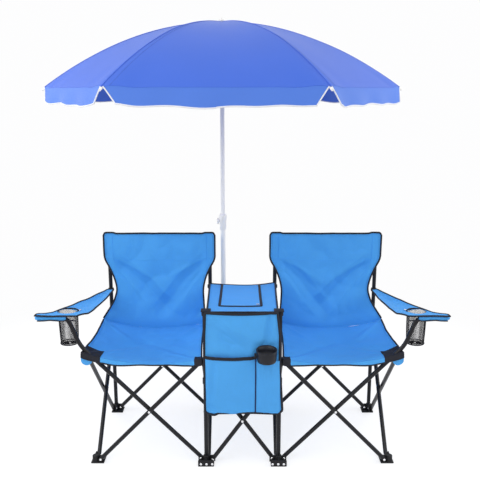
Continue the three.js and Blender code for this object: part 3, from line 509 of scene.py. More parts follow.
def roundedPath(corners, radius, steps=5):
    # A path through corner points, with each inner corner rounded.
    path = [corners[0]]
    for before, corner, after in zip(corners, corners[1:], corners[2:]):
        reach = min(radius / 1000, (before - corner).length / 2, (after - corner).length / 2)
        entry = corner + (before - corner).normalized() * reach
        leave = corner + (after - corner).normalized() * reach
        for k in range(steps + 1):
            t = k / steps
            path.append(entry * (1 - t) ** 2 + corner * 2 * t * (1 - t) + leave * t * t)
    return path + [corners[-1]]


def studShape(name, profile, sides):
    # A small shape about its own origin. It is hidden, and is copied to points by studs.
    made = turnedPiece(name, profile, (0, 0, 0), "brightSteel", sides)
    for vertex in made.data.vertices:
        vertex.co -= at(0, 0, 0)
    made.hide_render = made.hide_viewport = True
    return made


def studs(name, spots, shape, finish):
    # Spots are (place, direction) pairs.
    made = pointObject(name, [p for p, d in spots])
    aim = made.data.attributes.new("aim", "FLOAT_VECTOR", "POINT")
    for k, (p, d) in enumerate(spots):
        aim.data[k].vector = d
    shape.hide_viewport = False
    runTree(made, studTree, {"Shape": shape, "Finish": finishes[finish]})
    shape.hide_viewport = True
    return made


rivetShape = studShape("rivetShape", [(0, -0.6), (4.6, -0.6), (4.5, 0.5), (3.6, 1.3), (1.9, 1.8), (0, 1.95)], 20)
grommetShape = studShape("grommetShape", [
    (2.2, -0.4), (4.6, -0.4), (5.0, 0.3), (4.4, 1.0), (3.2, 1.1), (2.4, 0.7), (2.2, -0.4)], 20)
stitchShape = studShape("stitchShape", [(0, -1.1), (0.35, -0.8), (0.35, 0.8), (0, 1.1)], 5)


def stitchRow(name, points, finish="blueThread", pitch=3.6):
    # Short threads laid along a path.
    spots, carried = [], 0.0
    for a, b in zip(points, points[1:]):
        span = (b - a).length
        step = carried
        while step < span:
            spots.append((a.lerp(b, step / span), (b - a).normalized()))
            step += pitch / 1000
        carried = step - span
    return studs(name, spots, stitchShape, finish)


def dress(made, body, slotName, *nodes):
    made.data.validate()
    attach(made, body)
    if nodes:
        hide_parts(*nodes)
    return made


# The frame: tubes, rivets, feet and hubs.

rack = {
    "inner": 137, "outer": 559, "depth": 422, "pivot": 21, "middlePivot": 24.5, "pin": 16, "hub": 407,
    "ring": 332, "cross": 8.2, "tube": 8.0, "end": 6, "lug": 5, "lugStart": 8, "lugPast": 9.5, "lugSoft": 1.6,
    "head": 0.6, "back": 800, "frontPost": 604, "postFoot": 6, "hubHeight": 30, "ringHeight": 24, "lugHalf": 10,
    "armBends": [(597, 468), (636, 575), (748, 575)], "armRound": 28.8,
    "tab": ((535.5, 540.5), (13, 30.5), (397, 417)), "cornerRivet": 567.2,
}
footSizes = {
    "half": 11.5, "height": 28, "pad": 6, "reach": 34, "edge": 16, "toe": 38, "toeHalf": 30, "wall": 5, "web": 2.5,
    "soft": 2.6, "rivetZ": 11, "rivetX": (113.5, 135, 156),
}


def strutPiece(name, foot, top, normal, side, bends=()):
    # One scissor tube with its rivets, on one side of its scissor's plane. An arm tube goes on through bends.
    foot, top = Vector(foot), Vector(top)
    run, outward = (top - foot).normalized(), Vector(normal) * side
    corners = [foot - run * rack["end"]] + ([Vector(p) for p in bends] or [top + run * rack["end"]])
    path = [at(*(p + outward * rack["cross"])) for p in corners]
    if bends:
        path = roundedPath(path, rack["armRound"], 8)
    tube = tubePiece(name + "Tube", path, rack["tube"], "blackPaint", 24)
    ends = [foot] if bends else [foot, top]
    outerFace, lugFace = rack["cross"] + rack["tube"] - rack["head"], rack["lug"] + rack["head"]
    spots = [(at(*(spot + outward * outerFace)), outward) for spot in [foot, (foot + top) / 2] + ends[1:]]
    spots += [(at(*(spot - outward * lugFace)), -outward) for spot in ends]
    dress(tube, bodyOf[name], "black_tube", name)
    dress(studs(name + "Rivets", spots, rivetShape, "brightSteel"), bodyOf[name], "black_tube")


for word, s in hands:
    near, far = s * (rack["inner"] + rack["pivot"]), s * (rack["outer"] - rack["pivot"])
    low, high, back, behind = rack["pin"], rack["hub"], rack["depth"], rack["depth"] - rack["pivot"]
    bends = [(s * x, 0, z) for x, z in rack["armBends"]]
    strutPiece("arm_tube_" + word, (near, 0, low), (far, 0, high), (0, 1, 0), 1, bends)
    strutPiece("front_strut_" + word, (far, 0, low), (near, 0, high), (0, 1, 0), -1)
    strutPiece("back_strut_from_inner_" + word, (near, back, low), (far, back, high), (0, 1, 0), 1)
    strutPiece("back_strut_from_outer_" + word, (far, back, low), (near, back, high), (0, 1, 0), -1)
    for part in ("inner", "outer"):
        x = s * rack[part]
        strutPiece(part + "_strut_from_back_" + word, (x, behind, low), (x, rack["pivot"], high), (s, 0, 0), 1)
        strutPiece(part + "_strut_from_front_" + word, (x, rack["pivot"], low), (x, behind, high), (s, 0, 0), -1)
for word, s in hands:
    middle = s * (rack["inner"] - rack["middlePivot"])
    strutPiece("middle_strut_" + word, (middle, 0, rack["pin"]), (-middle, 0, rack["ring"]), (0, 1, 0), s)
print("scissor tubes made")


def lugBlock(name, x, y, direction, offset, tubeSide, low, high):
    # A lug beside a post, on the side of its plane that its tube leaves free.
    d = direction[0] or direction[1]
    reach = sorted((d * rack["lugStart"], d * (offset + rack["lugPast"])))
    side = sorted((0, -tubeSide * rack["lug"]))
    (x0, x1), (y0, y1) = (reach, side) if direction[0] else (side, reach)
    return blockPiece(name, (x + x0, y + y0, low), (x + x1, y + y1, high), "blackMoulding", rack["lugSoft"])


def footPiece(name, x, y, lugs, padX, padY, body, rivetsAt=(), nodes=()):
    f = footSizes
    half, top = f["half"], f["height"]
    socket = [(0, 1), (half + 1.2, 1), (half + 0.6, top - 2), (half - 1.5, top), (0, top)]
    parts = [blockPiece(name + "Pad", (x + padX[0], y + padY[0], 0), (x + padX[1], y + padY[1], f["pad"]),
                        "blackMoulding", f["soft"]),
             turnedPiece(name + "Socket", socket, (x, y, 0), "blackMoulding")]
    parts += [lugBlock(name + "Lug%d" % k, x, y, *lug, 1, top - 2) for k, lug in enumerate(lugs)]
    if rivetsAt:
        # The toe: a rounded wall across the front, a web back to the socket, and its three rivets.
        toe, wide, web = y - f["toe"], f["toeHalf"], f["web"]
        parts.append(blockPiece(name + "Wall", (x - wide, toe, 0), (x + wide, toe + f["wall"], top - 2),
                                "blackMoulding", f["soft"]))
        parts.append(blockPiece(name + "Web", (x - web, toe + 1, 0.4), (x + web, y - 8, top - 2.4),
                                "blackMoulding", 0.8))
        spots = [(at(spot, toe - 0.2, f["rivetZ"]), Vector((0, -1, 0))) for spot in rivetsAt]
        dress(studs(name + "Rivets", spots, rivetShape, "brightSteel"), body, "black_tube")
    dress(joined(name, parts), body, "black_plastic", *nodes)


def reachOf(low, high):
    return (-footSizes["reach"] if low else -footSizes["edge"], footSizes["reach"] if high else footSizes["edge"])


def hubPiece(name, x, y, z, height, lugs, outside=13):
    half = height / 2
    ring = [(8.6, -half), (outside - 0.8, -half), (outside, 2 - half), (outside, half - 2), (outside - 0.8, half),
            (8.6, half), (8.6, -half)]
    parts = [turnedPiece(name + "Ring", ring, (x, y, z), "blackMoulding")]
    low, high = z - rack["lugHalf"], z + rack["lugHalf"]
    parts += [lugBlock(name + "Lug%d" % k, x, y, *lug, low, high) for k, lug in enumerate(lugs)]
    dress(joined(name, parts), bodyOf[name], "black_plastic", name)


def postPiece(name, x, y, top):
    tube = tubePiece(name + "Tube", [at(x, y, rack["postFoot"]), at(x, y, top)], rack["tube"], "blackPaint", 24)
    dress(tube, bodyOf[name], "black_tube", name)


def cornerRivet(word, s):
    # A tab on the arm tube takes the outer side tube's long rivet, which has a sleeve on it.
    (x0, x1), (y0, y1), (z0, z1) = rack["tab"]
    tab = blockPiece("cornerTab" + word.title(), (min(s * x0, s * x1), y0, z0), (max(s * x0, s * x1), y1, z1),
                     "blackPaint", 1.6)
    dress(tab, bodyOf["arm_tube_" + word], "black_tube")
    base = (s * rack["cornerRivet"], rack["pivot"], rack["hub"])
    sleeve = turnedPiece("sleeve", [(0, 0), (4, 0), (4, 22.4), (2.5, 22.4), (2.5, 36.3), (0, 36.3)],
                         base, "blackPaint", 20, (-s, 0, 0))
    head = turnedPiece("head", [(0, 36), (4.6, 36), (4.5, 36.9), (3.2, 37.7), (0, 38)],
                       base, "brightSteel", 20, (-s, 0, 0))
    dress(joined("cornerRivet" + word.title(), [sleeve, head]), bodyOf["outer_strut_from_back_" + word], "black_tube")


for word, s in hands:
    left = s < 0
    side = word.title()
    innerX, outerX, back = s * rack["inner"], s * rack["outer"], rack["depth"]
    p, m = rack["pivot"], rack["middlePivot"]
    footPiece("frontFoot" + side, outerX, 0, [((-s, 0), p, -1), ((0, 1), p, -s)], reachOf(not left, left),
              reachOf(False, True), bodyOf["foot_front_" + word], nodes=["foot_front_" + word])
    footPiece("frontShoe" + side, innerX, 0, [((s, 0), p, 1), ((-s, 0), m, s), ((0, 1), p, -s)],
              (-footSizes["toeHalf"], footSizes["toeHalf"]), (-footSizes["toe"], footSizes["reach"]),
              bodyOf["post_front_" + word], [s * x for x in footSizes["rivetX"]])
    footPiece("backFoot" + side, outerX, back, [((-s, 0), p, -1), ((0, -1), p, s)], reachOf(not left, left),
              reachOf(True, False), bodyOf["upright_outer_" + word])
    footPiece("backShoe" + side, innerX, back, [((s, 0), p, 1), ((0, -1), p, s)], reachOf(left, not left),
              reachOf(True, False), bodyOf["upright_inner_" + word])
    postPiece("post_front_" + word, innerX, 0, rack["frontPost"])
    postPiece("upright_outer_" + word, outerX, back, rack["back"])
    postPiece("upright_inner_" + word, innerX, back, rack["back"])
    hub, tall = rack["hub"], rack["hubHeight"]
    hubPiece("hub_outer_" + word, outerX, back, hub, tall, [((-s, 0), p, 1), ((0, -1), p, -s)])
    hubPiece("hub_inner_" + word, innerX, back, hub, tall, [((s, 0), p, -1), ((0, -1), p, -s)])
    hubPiece("hub_front_" + word, innerX, 0, hub, tall, [((s, 0), p, -1), ((0, 1), p, s)])
    hubPiece("ring_middle_" + word, innerX, 0, rack["ring"], rack["ringHeight"], [((-s, 0), m, -s)], 10.6)
    cornerRivet(word, s)
print("feet and hubs made")


# The cloth of the chairs. A pull is a corner, the point it runs toward, its reach, width and height.
# A fold is its start, its end, its width and its depth. All places are shares of the sheet.

seatSizes = {
    "inner": 149, "backInner": 160, "outer": 590, "front": 15.9, "back": 389.7,
    "frontInnerZ": 420.9, "frontOuterZ": 446, "backInnerZ": 420, "backOuterZ": 434, "sag": 30, "sagMore": 14,
    "thick": 1.4, "piping": 3.3, "frontPiping": 2.8, "columns": 90, "rows": 66,
    "lip": 28.5, "lipEnd": 10, "lipShare": 0.12, "droop": 17, "lugTop": 418.6,
    "flapInner": 552, "flapOuter": 592, "flapTop": 411,
    "pulls": [((0, 0), (0.6, 0.7), 0.75, 0.035, 3.2), ((1, 0), (0.4, 0.75), 0.8, 0.035, 4.0),
              ((1, 1), (0.5, 0.4), 0.6, 0.035, 3.4), ((0, 1), (0.5, 0.4), 0.6, 0.035, 3.0)],
    "folds": [((0.02, 0.06), (0.42, 0.55), 0.10, 4.0), ((0.97, 0.08), (0.55, 0.62), 0.10, 5.0)],
    "patches": [("Outer", (0.845, 1.0), (0.0, 0.2)), ("Inner", (0.0, 0.062), (0.0, 0.1))],
}
backSizes = {
    "top": 806, "bendY": 392, "frontY": 409, "outer": 578, "inner": 115, "corner": 12,
    "thick": 1.4, "piping": 3.6, "columns": 96, "rows": 84, "seams": (0.078, 0.922),
    "pulls": [((0.05, 0.62), (0.30, 0.22), 0.5, 0.025, 4), ((0.03, 0.76), (0.55, 0.42), 0.6, 0.03, -3.0)],
    "folds": [((0.93, 0.68), (0.44, 0.22), 0.11, 22), ((0.07, 0.68), (0.44, 0.22), 0.11, 15.4)],
}
sleeveSizes = {"low": 690, "out": 2.5, "half": 16.5, "deep": 11.8, "y": 421.5, "rings": 22, "points": 40, "sway": 1.1}
# Each row: height share, then the outer and the inner edge's inset as shares of the width.
backEdges = [
    (0, -0.036, 0.097), (0.12, 0.02, 0.098), (0.25, 0.078, 0.105), (0.38, 0.108, 0.11), (0.5, 0.085, 0.088),
    (0.62, 0.04, 0.045), (0.7, 0, 0), (1, 0, 0),
]


def eased(rows, column, share):
    # A rounded reading of a table of rows: neighbours are averaged over a short reach.
    total = 0.0
    for shift in (-0.04, -0.02, 0, 0.02, 0.04):
        total += along([(row[0], row[column]) for row in rows], clamp(share + shift))
    return total / 5


def seatHeight(across, depth):
    c = seatSizes
    inner = mix(c["frontInnerZ"], c["backInnerZ"], depth)
    outer = mix(c["frontOuterZ"], c["backOuterZ"], depth)
    bowl = 4 * across * (1 - across)
    return mix(inner, outer, across) - bowl * (c["sag"] + c["sagMore"] * arch(depth))


def pullFrom(across, depth, corner, toward, reach, width, height):
    # A pull line in stretched cloth, from a held corner toward a point, dying out on its way.
    dx, dy = toward[0] - corner[0], toward[1] - corner[1]
    length = math.hypot(dx, dy)
    px, py = across - corner[0], depth - corner[1]
    down = (px * dx + py * dy) / length
    aside = abs(px * dy - py * dx) / length
    if down < 0 or down > reach:
        return 0.0
    fall = arch(clamp(0.12 + 0.88 * down / reach))
    spread = width * (0.35 + 1.2 * down / reach)
    return height * fall * math.exp(-(aside / spread) ** 2)


def facets(x, y, size, seed, deep):
    # Crumpled cloth: flat faces that meet in creases.
    return deep * (0.28 - abs(rumple(x, y, 7, size, seed)) - 0.5 * abs(rumple(y, x, 3, size * 0.6, seed + 2)))


def foldLine(across, height, start, end, width, deep):
    # A folded line between two points: the cloth is flat on both sides of it, like a shallow valley.
    dx, dy = end[0] - start[0], end[1] - start[1]
    length = math.hypot(dx, dy)
    down = ((across - start[0]) * dx + (height - start[1]) * dy) / length ** 2
    aside = abs((across - start[0]) * dy - (height - start[1]) * dx) / length
    near = smooth(1 - max(0.0, -down, down - 1) * length / (width * 1.2))
    valley = max(0.0, 1 - math.sqrt(aside ** 2 + (width * 0.09) ** 2) / width)
    return deep * near * valley * (0.75 + 0.25 * arch(clamp(down)))


def faceUp(made, direction):
    # Turns the sheet's faces to look the given way on the whole.
    total = sum((polygon.normal * polygon.area for polygon in made.data.polygons), Vector((0, 0, 0)))
    if total.dot(Vector(direction)) < 0:
        made.data.flip_normals()


def sleevePiece(word, s, label, x, seed):
    # A loop of cloth over an upright, rather square in plan and closed at its top.
    v, top = sleeveSizes, backSizes["top"]
    rings = []
    for k in range(v["rings"] + 1):
        z = v["low"] + (top - 2 - v["low"]) * k / v["rings"]
        cap = 1 - 0.25 * smooth((k - 20) / 2)
        ring = []
        for n in range(v["points"]):
            turn = 2 * math.pi * n / v["points"]
            cx, cy = math.cos(turn), math.sin(turn)
            px = math.copysign(abs(cx) ** 0.7, cx) * v["half"] * cap
            py = math.copysign(abs(cy) ** 0.7, cy) * v["deep"] * cap
            sway = v["sway"] * rumple(px + x, py, z, 26, seed)
            ring.append(at(s * (x + px + sway * cx), v["y"] + py + sway * cy, z))
        rings.append(ring)
    return softTube("sleeve" + label + word.title(), rings, at(s * x, v["y"], top - 0.5), "seatCloth")


def chairCloth(word, s):
    c, b = seatSizes, backSizes
    side, seed = word.title(), 3.1 if s < 0 else 11.7

    def seatPoint(across, depth, lift=0.0):
        x = mix(mix(c["inner"], c["backInner"], depth), c["outer"], across)
        bowIn = 9 * arch(depth) * (across ** 6) + 5 * arch(depth) * ((1 - across) ** 8)
        x -= bowIn if across > 0.5 else -bowIn
        # The front edge reaches over the struts and hangs down before them, most near its two ends.
        near = clamp(depth / c["lipShare"])
        end = smooth((abs(across - 0.4) - 0.08) / 0.28)
        reach = c["lip"] + c["lipEnd"] * smooth((0.12 - across) / 0.1)
        y = mix(c["front"] - reach, c["front"] + 14, near) if near < 1 else \
            mix(c["front"] + 14, c["back"], (depth - c["lipShare"]) / (1 - c["lipShare"]))
        z = seatHeight(across, max(0.0, (y - c["front"]) / (c["back"] - c["front"]))) - 1.2
        z = max(z, c["lugTop"]) if x < 176 and y < 20 else z
        hang = smooth((0.13 - near) / 0.13)
        z -= hang * mix(3.0, c["droop"], end)
        for pull in c["pulls"]:
            z += pullFrom(across, depth, *pull)
        calm = smooth((depth - 0.02) / 0.12)
        z += calm * (2.4 * rumple(x, y, 0, 90, seed) + 0.9 * rumple(x, y, 0, 34, seed) + facets(x, y, 120, seed, 3.0))
        for fold in c["folds"]:
            z -= calm * foldLine(across, depth, *fold)
        return at(s * x, y, z + lift)

    width = b["outer"] - b["inner"]

    def backPoint(across, height, lift=0.0):
        innerEdge = b["inner"] + width * eased(backEdges, 2, height)
        outerEdge = b["outer"] - width * eased(backEdges, 1, height)
        x = mix(innerEdge, outerEdge, across)
        seatShare = clamp((x - c["backInner"]) / (c["outer"] - c["backInner"]))
        low = seatHeight(seatShare, 1) - 3
        lean = min(1, height / 0.7)
        y = mix(b["bendY"], b["frontY"], lean * (2 - lean))
        hollow = 5 * arch(across) * arch(clamp(height * 0.9))
        y += hollow
        for aside in (across, 1 - across):
            for pull in b["pulls"]:
                y += pullFrom(aside, height, *pull)
        for fold in b["folds"]:
            y += foldLine(across, height, *fold)
        y += 2.4 * rumple(x, 0, height * 400, 95, seed + 5) + 0.9 * rumple(x, 0, height * 400, 30, seed)
        bow = arch(across) ** 0.4
        y += facets(x, height * 400, 120, seed + 9, 11.0) * bow * (1 - 0.5 * smooth(height - 0.7))
        # Beside the uprights the cloth lies before them.
        free = smooth((min(x - b["inner"], b["outer"] - x) - 34) / 34)
        y = mix(min(y, b["frontY"] + 1), y, free)
        y = mix(b["bendY"] - 1, y, smooth(height / 0.14))
        z = mix(low, b["top"], height)
        # The top edge is lower between the sleeves, and its corners are rounded.
        edge = min(x - b["inner"], b["outer"] - x)
        dip = 3.5 * smooth((edge - 40) / 14) + 1.2 * rumple(x, 0, 0, 60, seed)
        draw = b["corner"] * (1 - math.sqrt(max(0.0, 1 - (1 - clamp(edge / b["corner"])) ** 2)))
        z -= (dip + draw) * smooth((height - 0.8) / 0.2)
        return at(s * x, y + lift, z)

    seat = clothGrid("seatCloth" + side, c["columns"], c["rows"], seatPoint, "seatCloth", c["thick"])
    back = clothGrid("backCloth" + side, b["columns"], b["rows"], backPoint, "seatCloth", b["thick"])
    sleeves = [sleevePiece(word, s, "Outer", rack["outer"] + sleeveSizes["out"], seed),
               sleevePiece(word, s, "Inner", rack["inner"] - sleeveSizes["out"], seed)]

    # Piping on the free edges, and stitches beside it. The bend between seat and back has none.
    def hemOf(name, where, lift, first, last, thick):
        rim = rimOf(where, lift, [(1, first), (1, last), (0, last), (0, first)], (90, 90, 90))
        return tubePiece(name + side, rim, thick, "blackTape", 10)

    def stitchesOf(name, where, lift, near=0.022):
        far = 1 - near
        rim = rimOf(where, lift, [(near, near), (far, near), (far, far), (near, far), (near, near)], (60,) * 4)
        return stitchRow(name + side, rim)

    seatTrim = [hemOf("seatPiping", seatPoint, 0.4, 0.985, 0, c["frontPiping"])]
    for across in (0, 1):
        line = rimOf(seatPoint, 0.6, [(across, 0.02), (across, 0.985)], (60,))
        seatTrim.append(tubePiece("seatSidePiping%d" % across + side, line, c["piping"], "blackTape", 10))
    seatTrim.append(stitchesOf("seatStitches", seatPoint, 0.8))
    backTrim = [hemOf("backPiping", backPoint, -1.6, 0.02, 1, b["piping"]),
                stitchesOf("backStitches", backPoint, -0.9)]
    for k, share in enumerate(b["seams"]):
        line = rimOf(backPoint, -0.9, [(share, 0.69), (share, 0.99)], (30,))
        backTrim.append(stitchRow("sleeveStitches%d" % k + side, line))
        backTrim.append(tubePiece("sleeveSeam%d" % k + side, line, 1.3, "seatCloth", 6))
    line = rimOf(backPoint, -0.7, [(0.02, 0.712), (0.98, 0.712)], (50,))
    backTrim.append(tubePiece("crossSeam" + side, line, 1.0, "seatCloth", 6))

    # Black patches on the seat's front corners.
    for label, spread, depthSpread in c["patches"]:
        def patchPoint(u, v, spread=spread, depthSpread=depthSpread):
            return seatPoint(mix(*spread, u), mix(*depthSpread, v), 1.7)
        seatTrim.append(clothGrid("patch" + label + side, 22, 14, patchPoint, "blackTape", 1.2))

    def flapPoint(u, v):
        # The slack end of cloth that hangs below the outer corner.
        x, rim = mix(c["flapInner"], c["flapOuter"], u), c["flapTop"] - 15 * arch(u) ** 0.6
        z = mix(rim, c["flapTop"] + 16, v)
        return at(s * x, -6 - 4 * v + 1.5 * rumple(x, 0, z, 18, 2.0 + s), z)

    seatTrim.append(clothGrid("cornerFlap" + side, 14, 8, flapPoint, "seatCloth", 1.2))
    return (seat, back, joined("sleeves" + side, sleeves), joined("seatTrim" + side, seatTrim),
            joined("backTrim" + side, backTrim))


for word, s in hands:
    seat, back, sleeves, seatTrim, backTrim = chairCloth(word, s)
    seatBody, backBody = bodyOf["seat_" + word], bodyOf["backrest_" + word]
    for piece, body, *nodes in ((seat, seatBody, "seat_" + word), (seatTrim, seatBody),
                                (back, backBody, "backrest_" + word), (sleeves, backBody), (backTrim, backBody)):
        dress(piece, body, "blue_cloth", *nodes)
    for one in (seat, seatTrim, back, sleeves, backTrim):
        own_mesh(one)
print("seats and backs made")


# The arm rests. Each row of the outline is its y and the x of its inner and outer edge.

armSizes = {
    "rows": [(-7, 602, 752), (20, 566, 744), (34, 563, 704), (62, 560, 692), (104, 556, 672), (250, 546, 618),
             (411, 546, 573)],
    "frontZ": 588, "backZ": 560, "piping": 3.1, "columns": 44, "lines": 96,
    "cupX": 648, "cupY": 62, "cupRadius": 37, "cupLow": 458, "netColumns": 56, "netLevels": 30, "thread": 0.55,
    "hemY": 8.2, "hemZ": 575.5, "hemRadius": 10.6, "hemFrom": 640, "hemTo": 753,
    "eyelets": (2.6, 3.7, 5.1, 0.4),
}


def cupNet(a, cx, top):
    # The threads of the cup: slanting ones up its wall, then rings and spokes in its floor.
    count, levels = a["netColumns"], a["netLevels"]
    points, edges = [], []
    for j in range(levels + 1):
        radius = a["cupRadius"] - 1.5 - 3.2 * (1 - j / levels) ** 2
        points += circle(cx, a["cupY"], mix(a["cupLow"], top, j / levels), radius, count, 0.5 * (j % 2))
    for j in range(levels):
        up = (j + 1) * count
        for i in range(count):
            edges.append((j * count + i, up + i))
            edges.append((j * count + i, up + ((i - 1) % count if j % 2 == 0 else (i + 1) % count)))
    for share in (0.15, 0.35, 0.55, 0.75, 0.95):
        base = len(points)
        points += circle(cx, a["cupY"], a["cupLow"] + 0.4, (a["cupRadius"] - 4.7) * share, count)
        for i in range(count):
            edges.append((base + i, base + (i + 1) % count))
            if share > 0.3:
                edges.append((base + i, base - count + i))
    return runTree(pointObject("cupNet", points, edges), netTree,
                   {"Radius": a["thread"] / 1000, "Sides": 3, "Finish": finishes["blackNet"]})


def armRest(word, s):
    a = armSizes
    inner = [(y, i) for y, i, o in a["rows"]]
    outer = [(y, o) for y, i, o in a["rows"]]
    first, last = a["rows"][0][0], a["rows"][-1][0]

    def topPoint(u, v, lift=0.0):
        y = mix(first, last, v)
        x0 = sum(along(inner, y + d) for d in (-8, 0, 8)) / 3
        x1 = sum(along(outer, y + d) for d in (-12, -4, 4, 12)) / 4
        x = mix(x0, x1, u)
        z = mix(a["frontZ"], a["backZ"], v) - 2
        z -= 9 * arch(clamp((v - 0.12) / 0.88)) * arch(u)
        z += 1.6 * rumple(x, y, 0, 60, 4.0 * s)
        if y < 24:
            z += 2.4 * math.cos((y - a["hemY"]) / 16 * math.pi / 2)
        return at(s * x, y, z + lift)

    # The sheet has a round hole over the cup: the grid is drawn apart round it.
    cx, cy = s * a["cupX"], a["cupY"]
    columns, rows = a["columns"], a["lines"]
    centre = at(cx, cy, 0)
    hole = (a["cupRadius"] - 2) / 1000
    points, keep = [], []
    for j in range(rows + 1):
        for i in range(columns + 1):
            p = topPoint(i / columns, (j / rows) ** 1.15)
            flat = Vector((p.x - centre.x, p.y - centre.y))
            keep.append(flat.length > hole * 0.86)
            if hole * 0.86 < flat.length < hole * 1.14:
                flat = flat.normalized() * hole
                p = Vector((centre.x + flat.x, centre.y + flat.y, p.z))
            points.append(p)
    faces = [corners for corners in gridFaces(columns, rows) if all(keep[k] for k in corners)]
    sheet = walled(mended(meshObject("armTop", points, faces, "seatCloth"), 0.0004, False), 2.2)
    # The hem round the tube's end, drawn as a soft sleeve.
    rings = []
    for k in range(25):
        x = mix(a["hemFrom"], a["hemTo"], k / 24)
        end = 1 - 0.35 * smooth((k - 22) / 2) - 0.2 * smooth((2 - k) / 2)
        ring = []
        for n in range(30):
            turn = 2 * math.pi * n / 30
            r = a["hemRadius"] * end + 0.8 * rumple(x, 20 * math.cos(turn), 20 * math.sin(turn), 20, 2.0 * s)
            ring.append(at(s * x, a["hemY"] + r * 1.12 * math.cos(turn), a["hemZ"] + r * math.sin(turn)))
        rings.append(ring)
    hem = softTube("armHem", rings, at(s * (a["hemTo"] + 1.5), a["hemY"], a["hemZ"]), "seatCloth")
    loop = turnedPiece("armLoop", [(8.8, 548), (11.6, 548.5), (12.2, 555), (11.6, 561.5), (8.8, 562), (8.8, 548)],
                       (s * rack["outer"], rack["depth"], 0), "blackTape", 28)
    edge = rimOf(topPoint, 0.6, [(1, 0), (1, 1), (0, 1), (0, 0), (1, 0)], (60, 16, 60, 24), True)
    piping = tubePiece("armPiping", edge, a["piping"], "blackTape", 10, True)
    fold = [at(s * mix(604, 744, k / 30), -4.6 + 0.5 * math.sin(k), 568 + 1.2 * math.sin(k * 0.4)) for k in range(31)]
    low = tubePiece("hemPiping", fold, 2.2, "blackTape", 10)
    # The cup hangs from a rim in the cloth, with a band at its foot and four eyelets round it.
    rimZ = topPoint(0.6, clamp((cy - first) / (last - first))).z
    rimPoints = [p + Vector((0, 0, rimZ + 0.0012)) for p in circle(cx, cy, 0, a["cupRadius"], 40)]
    rim = tubePiece("cupRim", rimPoints, 2.4, "blackTape", 10, True)
    net = cupNet(a, cx, rimZ * 1000 - 1)
    band = tubePiece("cupFoot", circle(cx, cy, a["cupLow"] + 1, a["cupRadius"] - 4, 40), 2.0, "blackTape", 8, True)
    away = a["cupRadius"] + 7
    flat = [at(cx + away * math.cos(t), cy + away * math.sin(t), 0) for t in a["eyelets"]]
    spots = [(p + Vector((0, 0, rimZ + 0.001)), Vector((0, 0, 1))) for p in flat]
    eyelets = studs("cupEyelets", spots, grommetShape, "brightSteel")
    return (joined("armCloth" + word.title(), [sheet, hem]),
            joined("armTrim" + word.title(), [piping, low, rim, net, band, loop, eyelets]))


for word, s in hands:
    cloth, trim = armRest(word, s)
    body = bodyOf["arm_rest_" + word]
    dress(cloth, body, "blue_cloth", "arm_rest_" + word)
    dress(trim, body, "blue_cloth")
    for one in (cloth, trim):
        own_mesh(one)
print("arm rests made")


# The cooler bag. Its creases are written as the folds of the chairs' cloth are.

bagSizes = {
    "half": 128, "lowHalf": 117, "topBackHalf": 138, "topBack": 408, "front": -22, "frontEdge": -20, "deep": 428,
    "low": 210, "middle": 432, "frontTop": 606, "backTop": 580,
    "panelLeft": [(210, -133), (225, -139), (300, -138), (420, -139), (520, -138), (606, -134)],
    "panelRight": [(210, 136), (225, 148), (300, 143), (420, 136), (520, 136), (606, 126)],
    "piping": 4.5, "topPiping": 3.3, "dip": 6, "wrinkle": 1.8, "highSeed": 8.1,
    "creases": [((0.78, 0.64), (0.90, 0.97), 0.055, 10), ((0.30, 0.74), (0.52, 0.66), 0.12, 12),
                ((0.16, 0.86), (0.34, 0.72), 0.10, 9), ((0.08, 0.1), (0.14, 0.5), 0.06, 6)],
}
# Each pocket: left, right, top, depth, seed, height of its small folds.
pocketSizes = {"left": (-136, 48, 441, 13, 1.2, 0.0), "right": (51, 138, 423, 9, 7.7, 0.9)}
bottleRing = {
    "x": 87, "y": -55, "radius": 37.5, "tilt": 3.5, "sides": 64, "top": 476,
    "rows": [(-3.0, 436), (-1.2, 434), (-0.2, 440), (1.4, 455), (2.6, 470), (1.4, 476), (0, 475), (-1.2, 455),
             (-3.0, 436)],
}


def bagTop(y):
    return mix(bagSizes["frontTop"], bagSizes["backTop"], (y + 24) / 436)


def topHalf(y):
    # The top is a little wider at its back, where it lies before the uprights.
    g = bagSizes
    return mix(g["half"], g["topBackHalf"], clamp((y - g["frontEdge"]) / (g["topBack"] - g["frontEdge"])))


def topShare(x, y):
    return clamp(0.5 + x / 2 / topHalf(y)), clamp((y - bagSizes["frontEdge"]) / bagSizes["deep"])


def topWave(u, v):
    # The bag's top rises to its back corners, where the straps hold it, and dips between them.
    back = smooth((v - 0.45) / 0.55)
    return back * (5 * (1 - u) ** 6 + 9 * u ** 4 - 3 * arch(u) + 1.2 * math.sin(7 * u))


def bagTopPoint(x, y, lift=0.0):
    g = bagSizes
    u, v = topShare(x, y)
    rise = dome(u, v)
    wrinkles = g["wrinkle"] * rise ** 0.5 * rumple(x, y, bagTop(y), 70, g["highSeed"])
    return at(x, y, bagTop(y) + topWave(u, v) - g["dip"] * rise + wrinkles + lift)


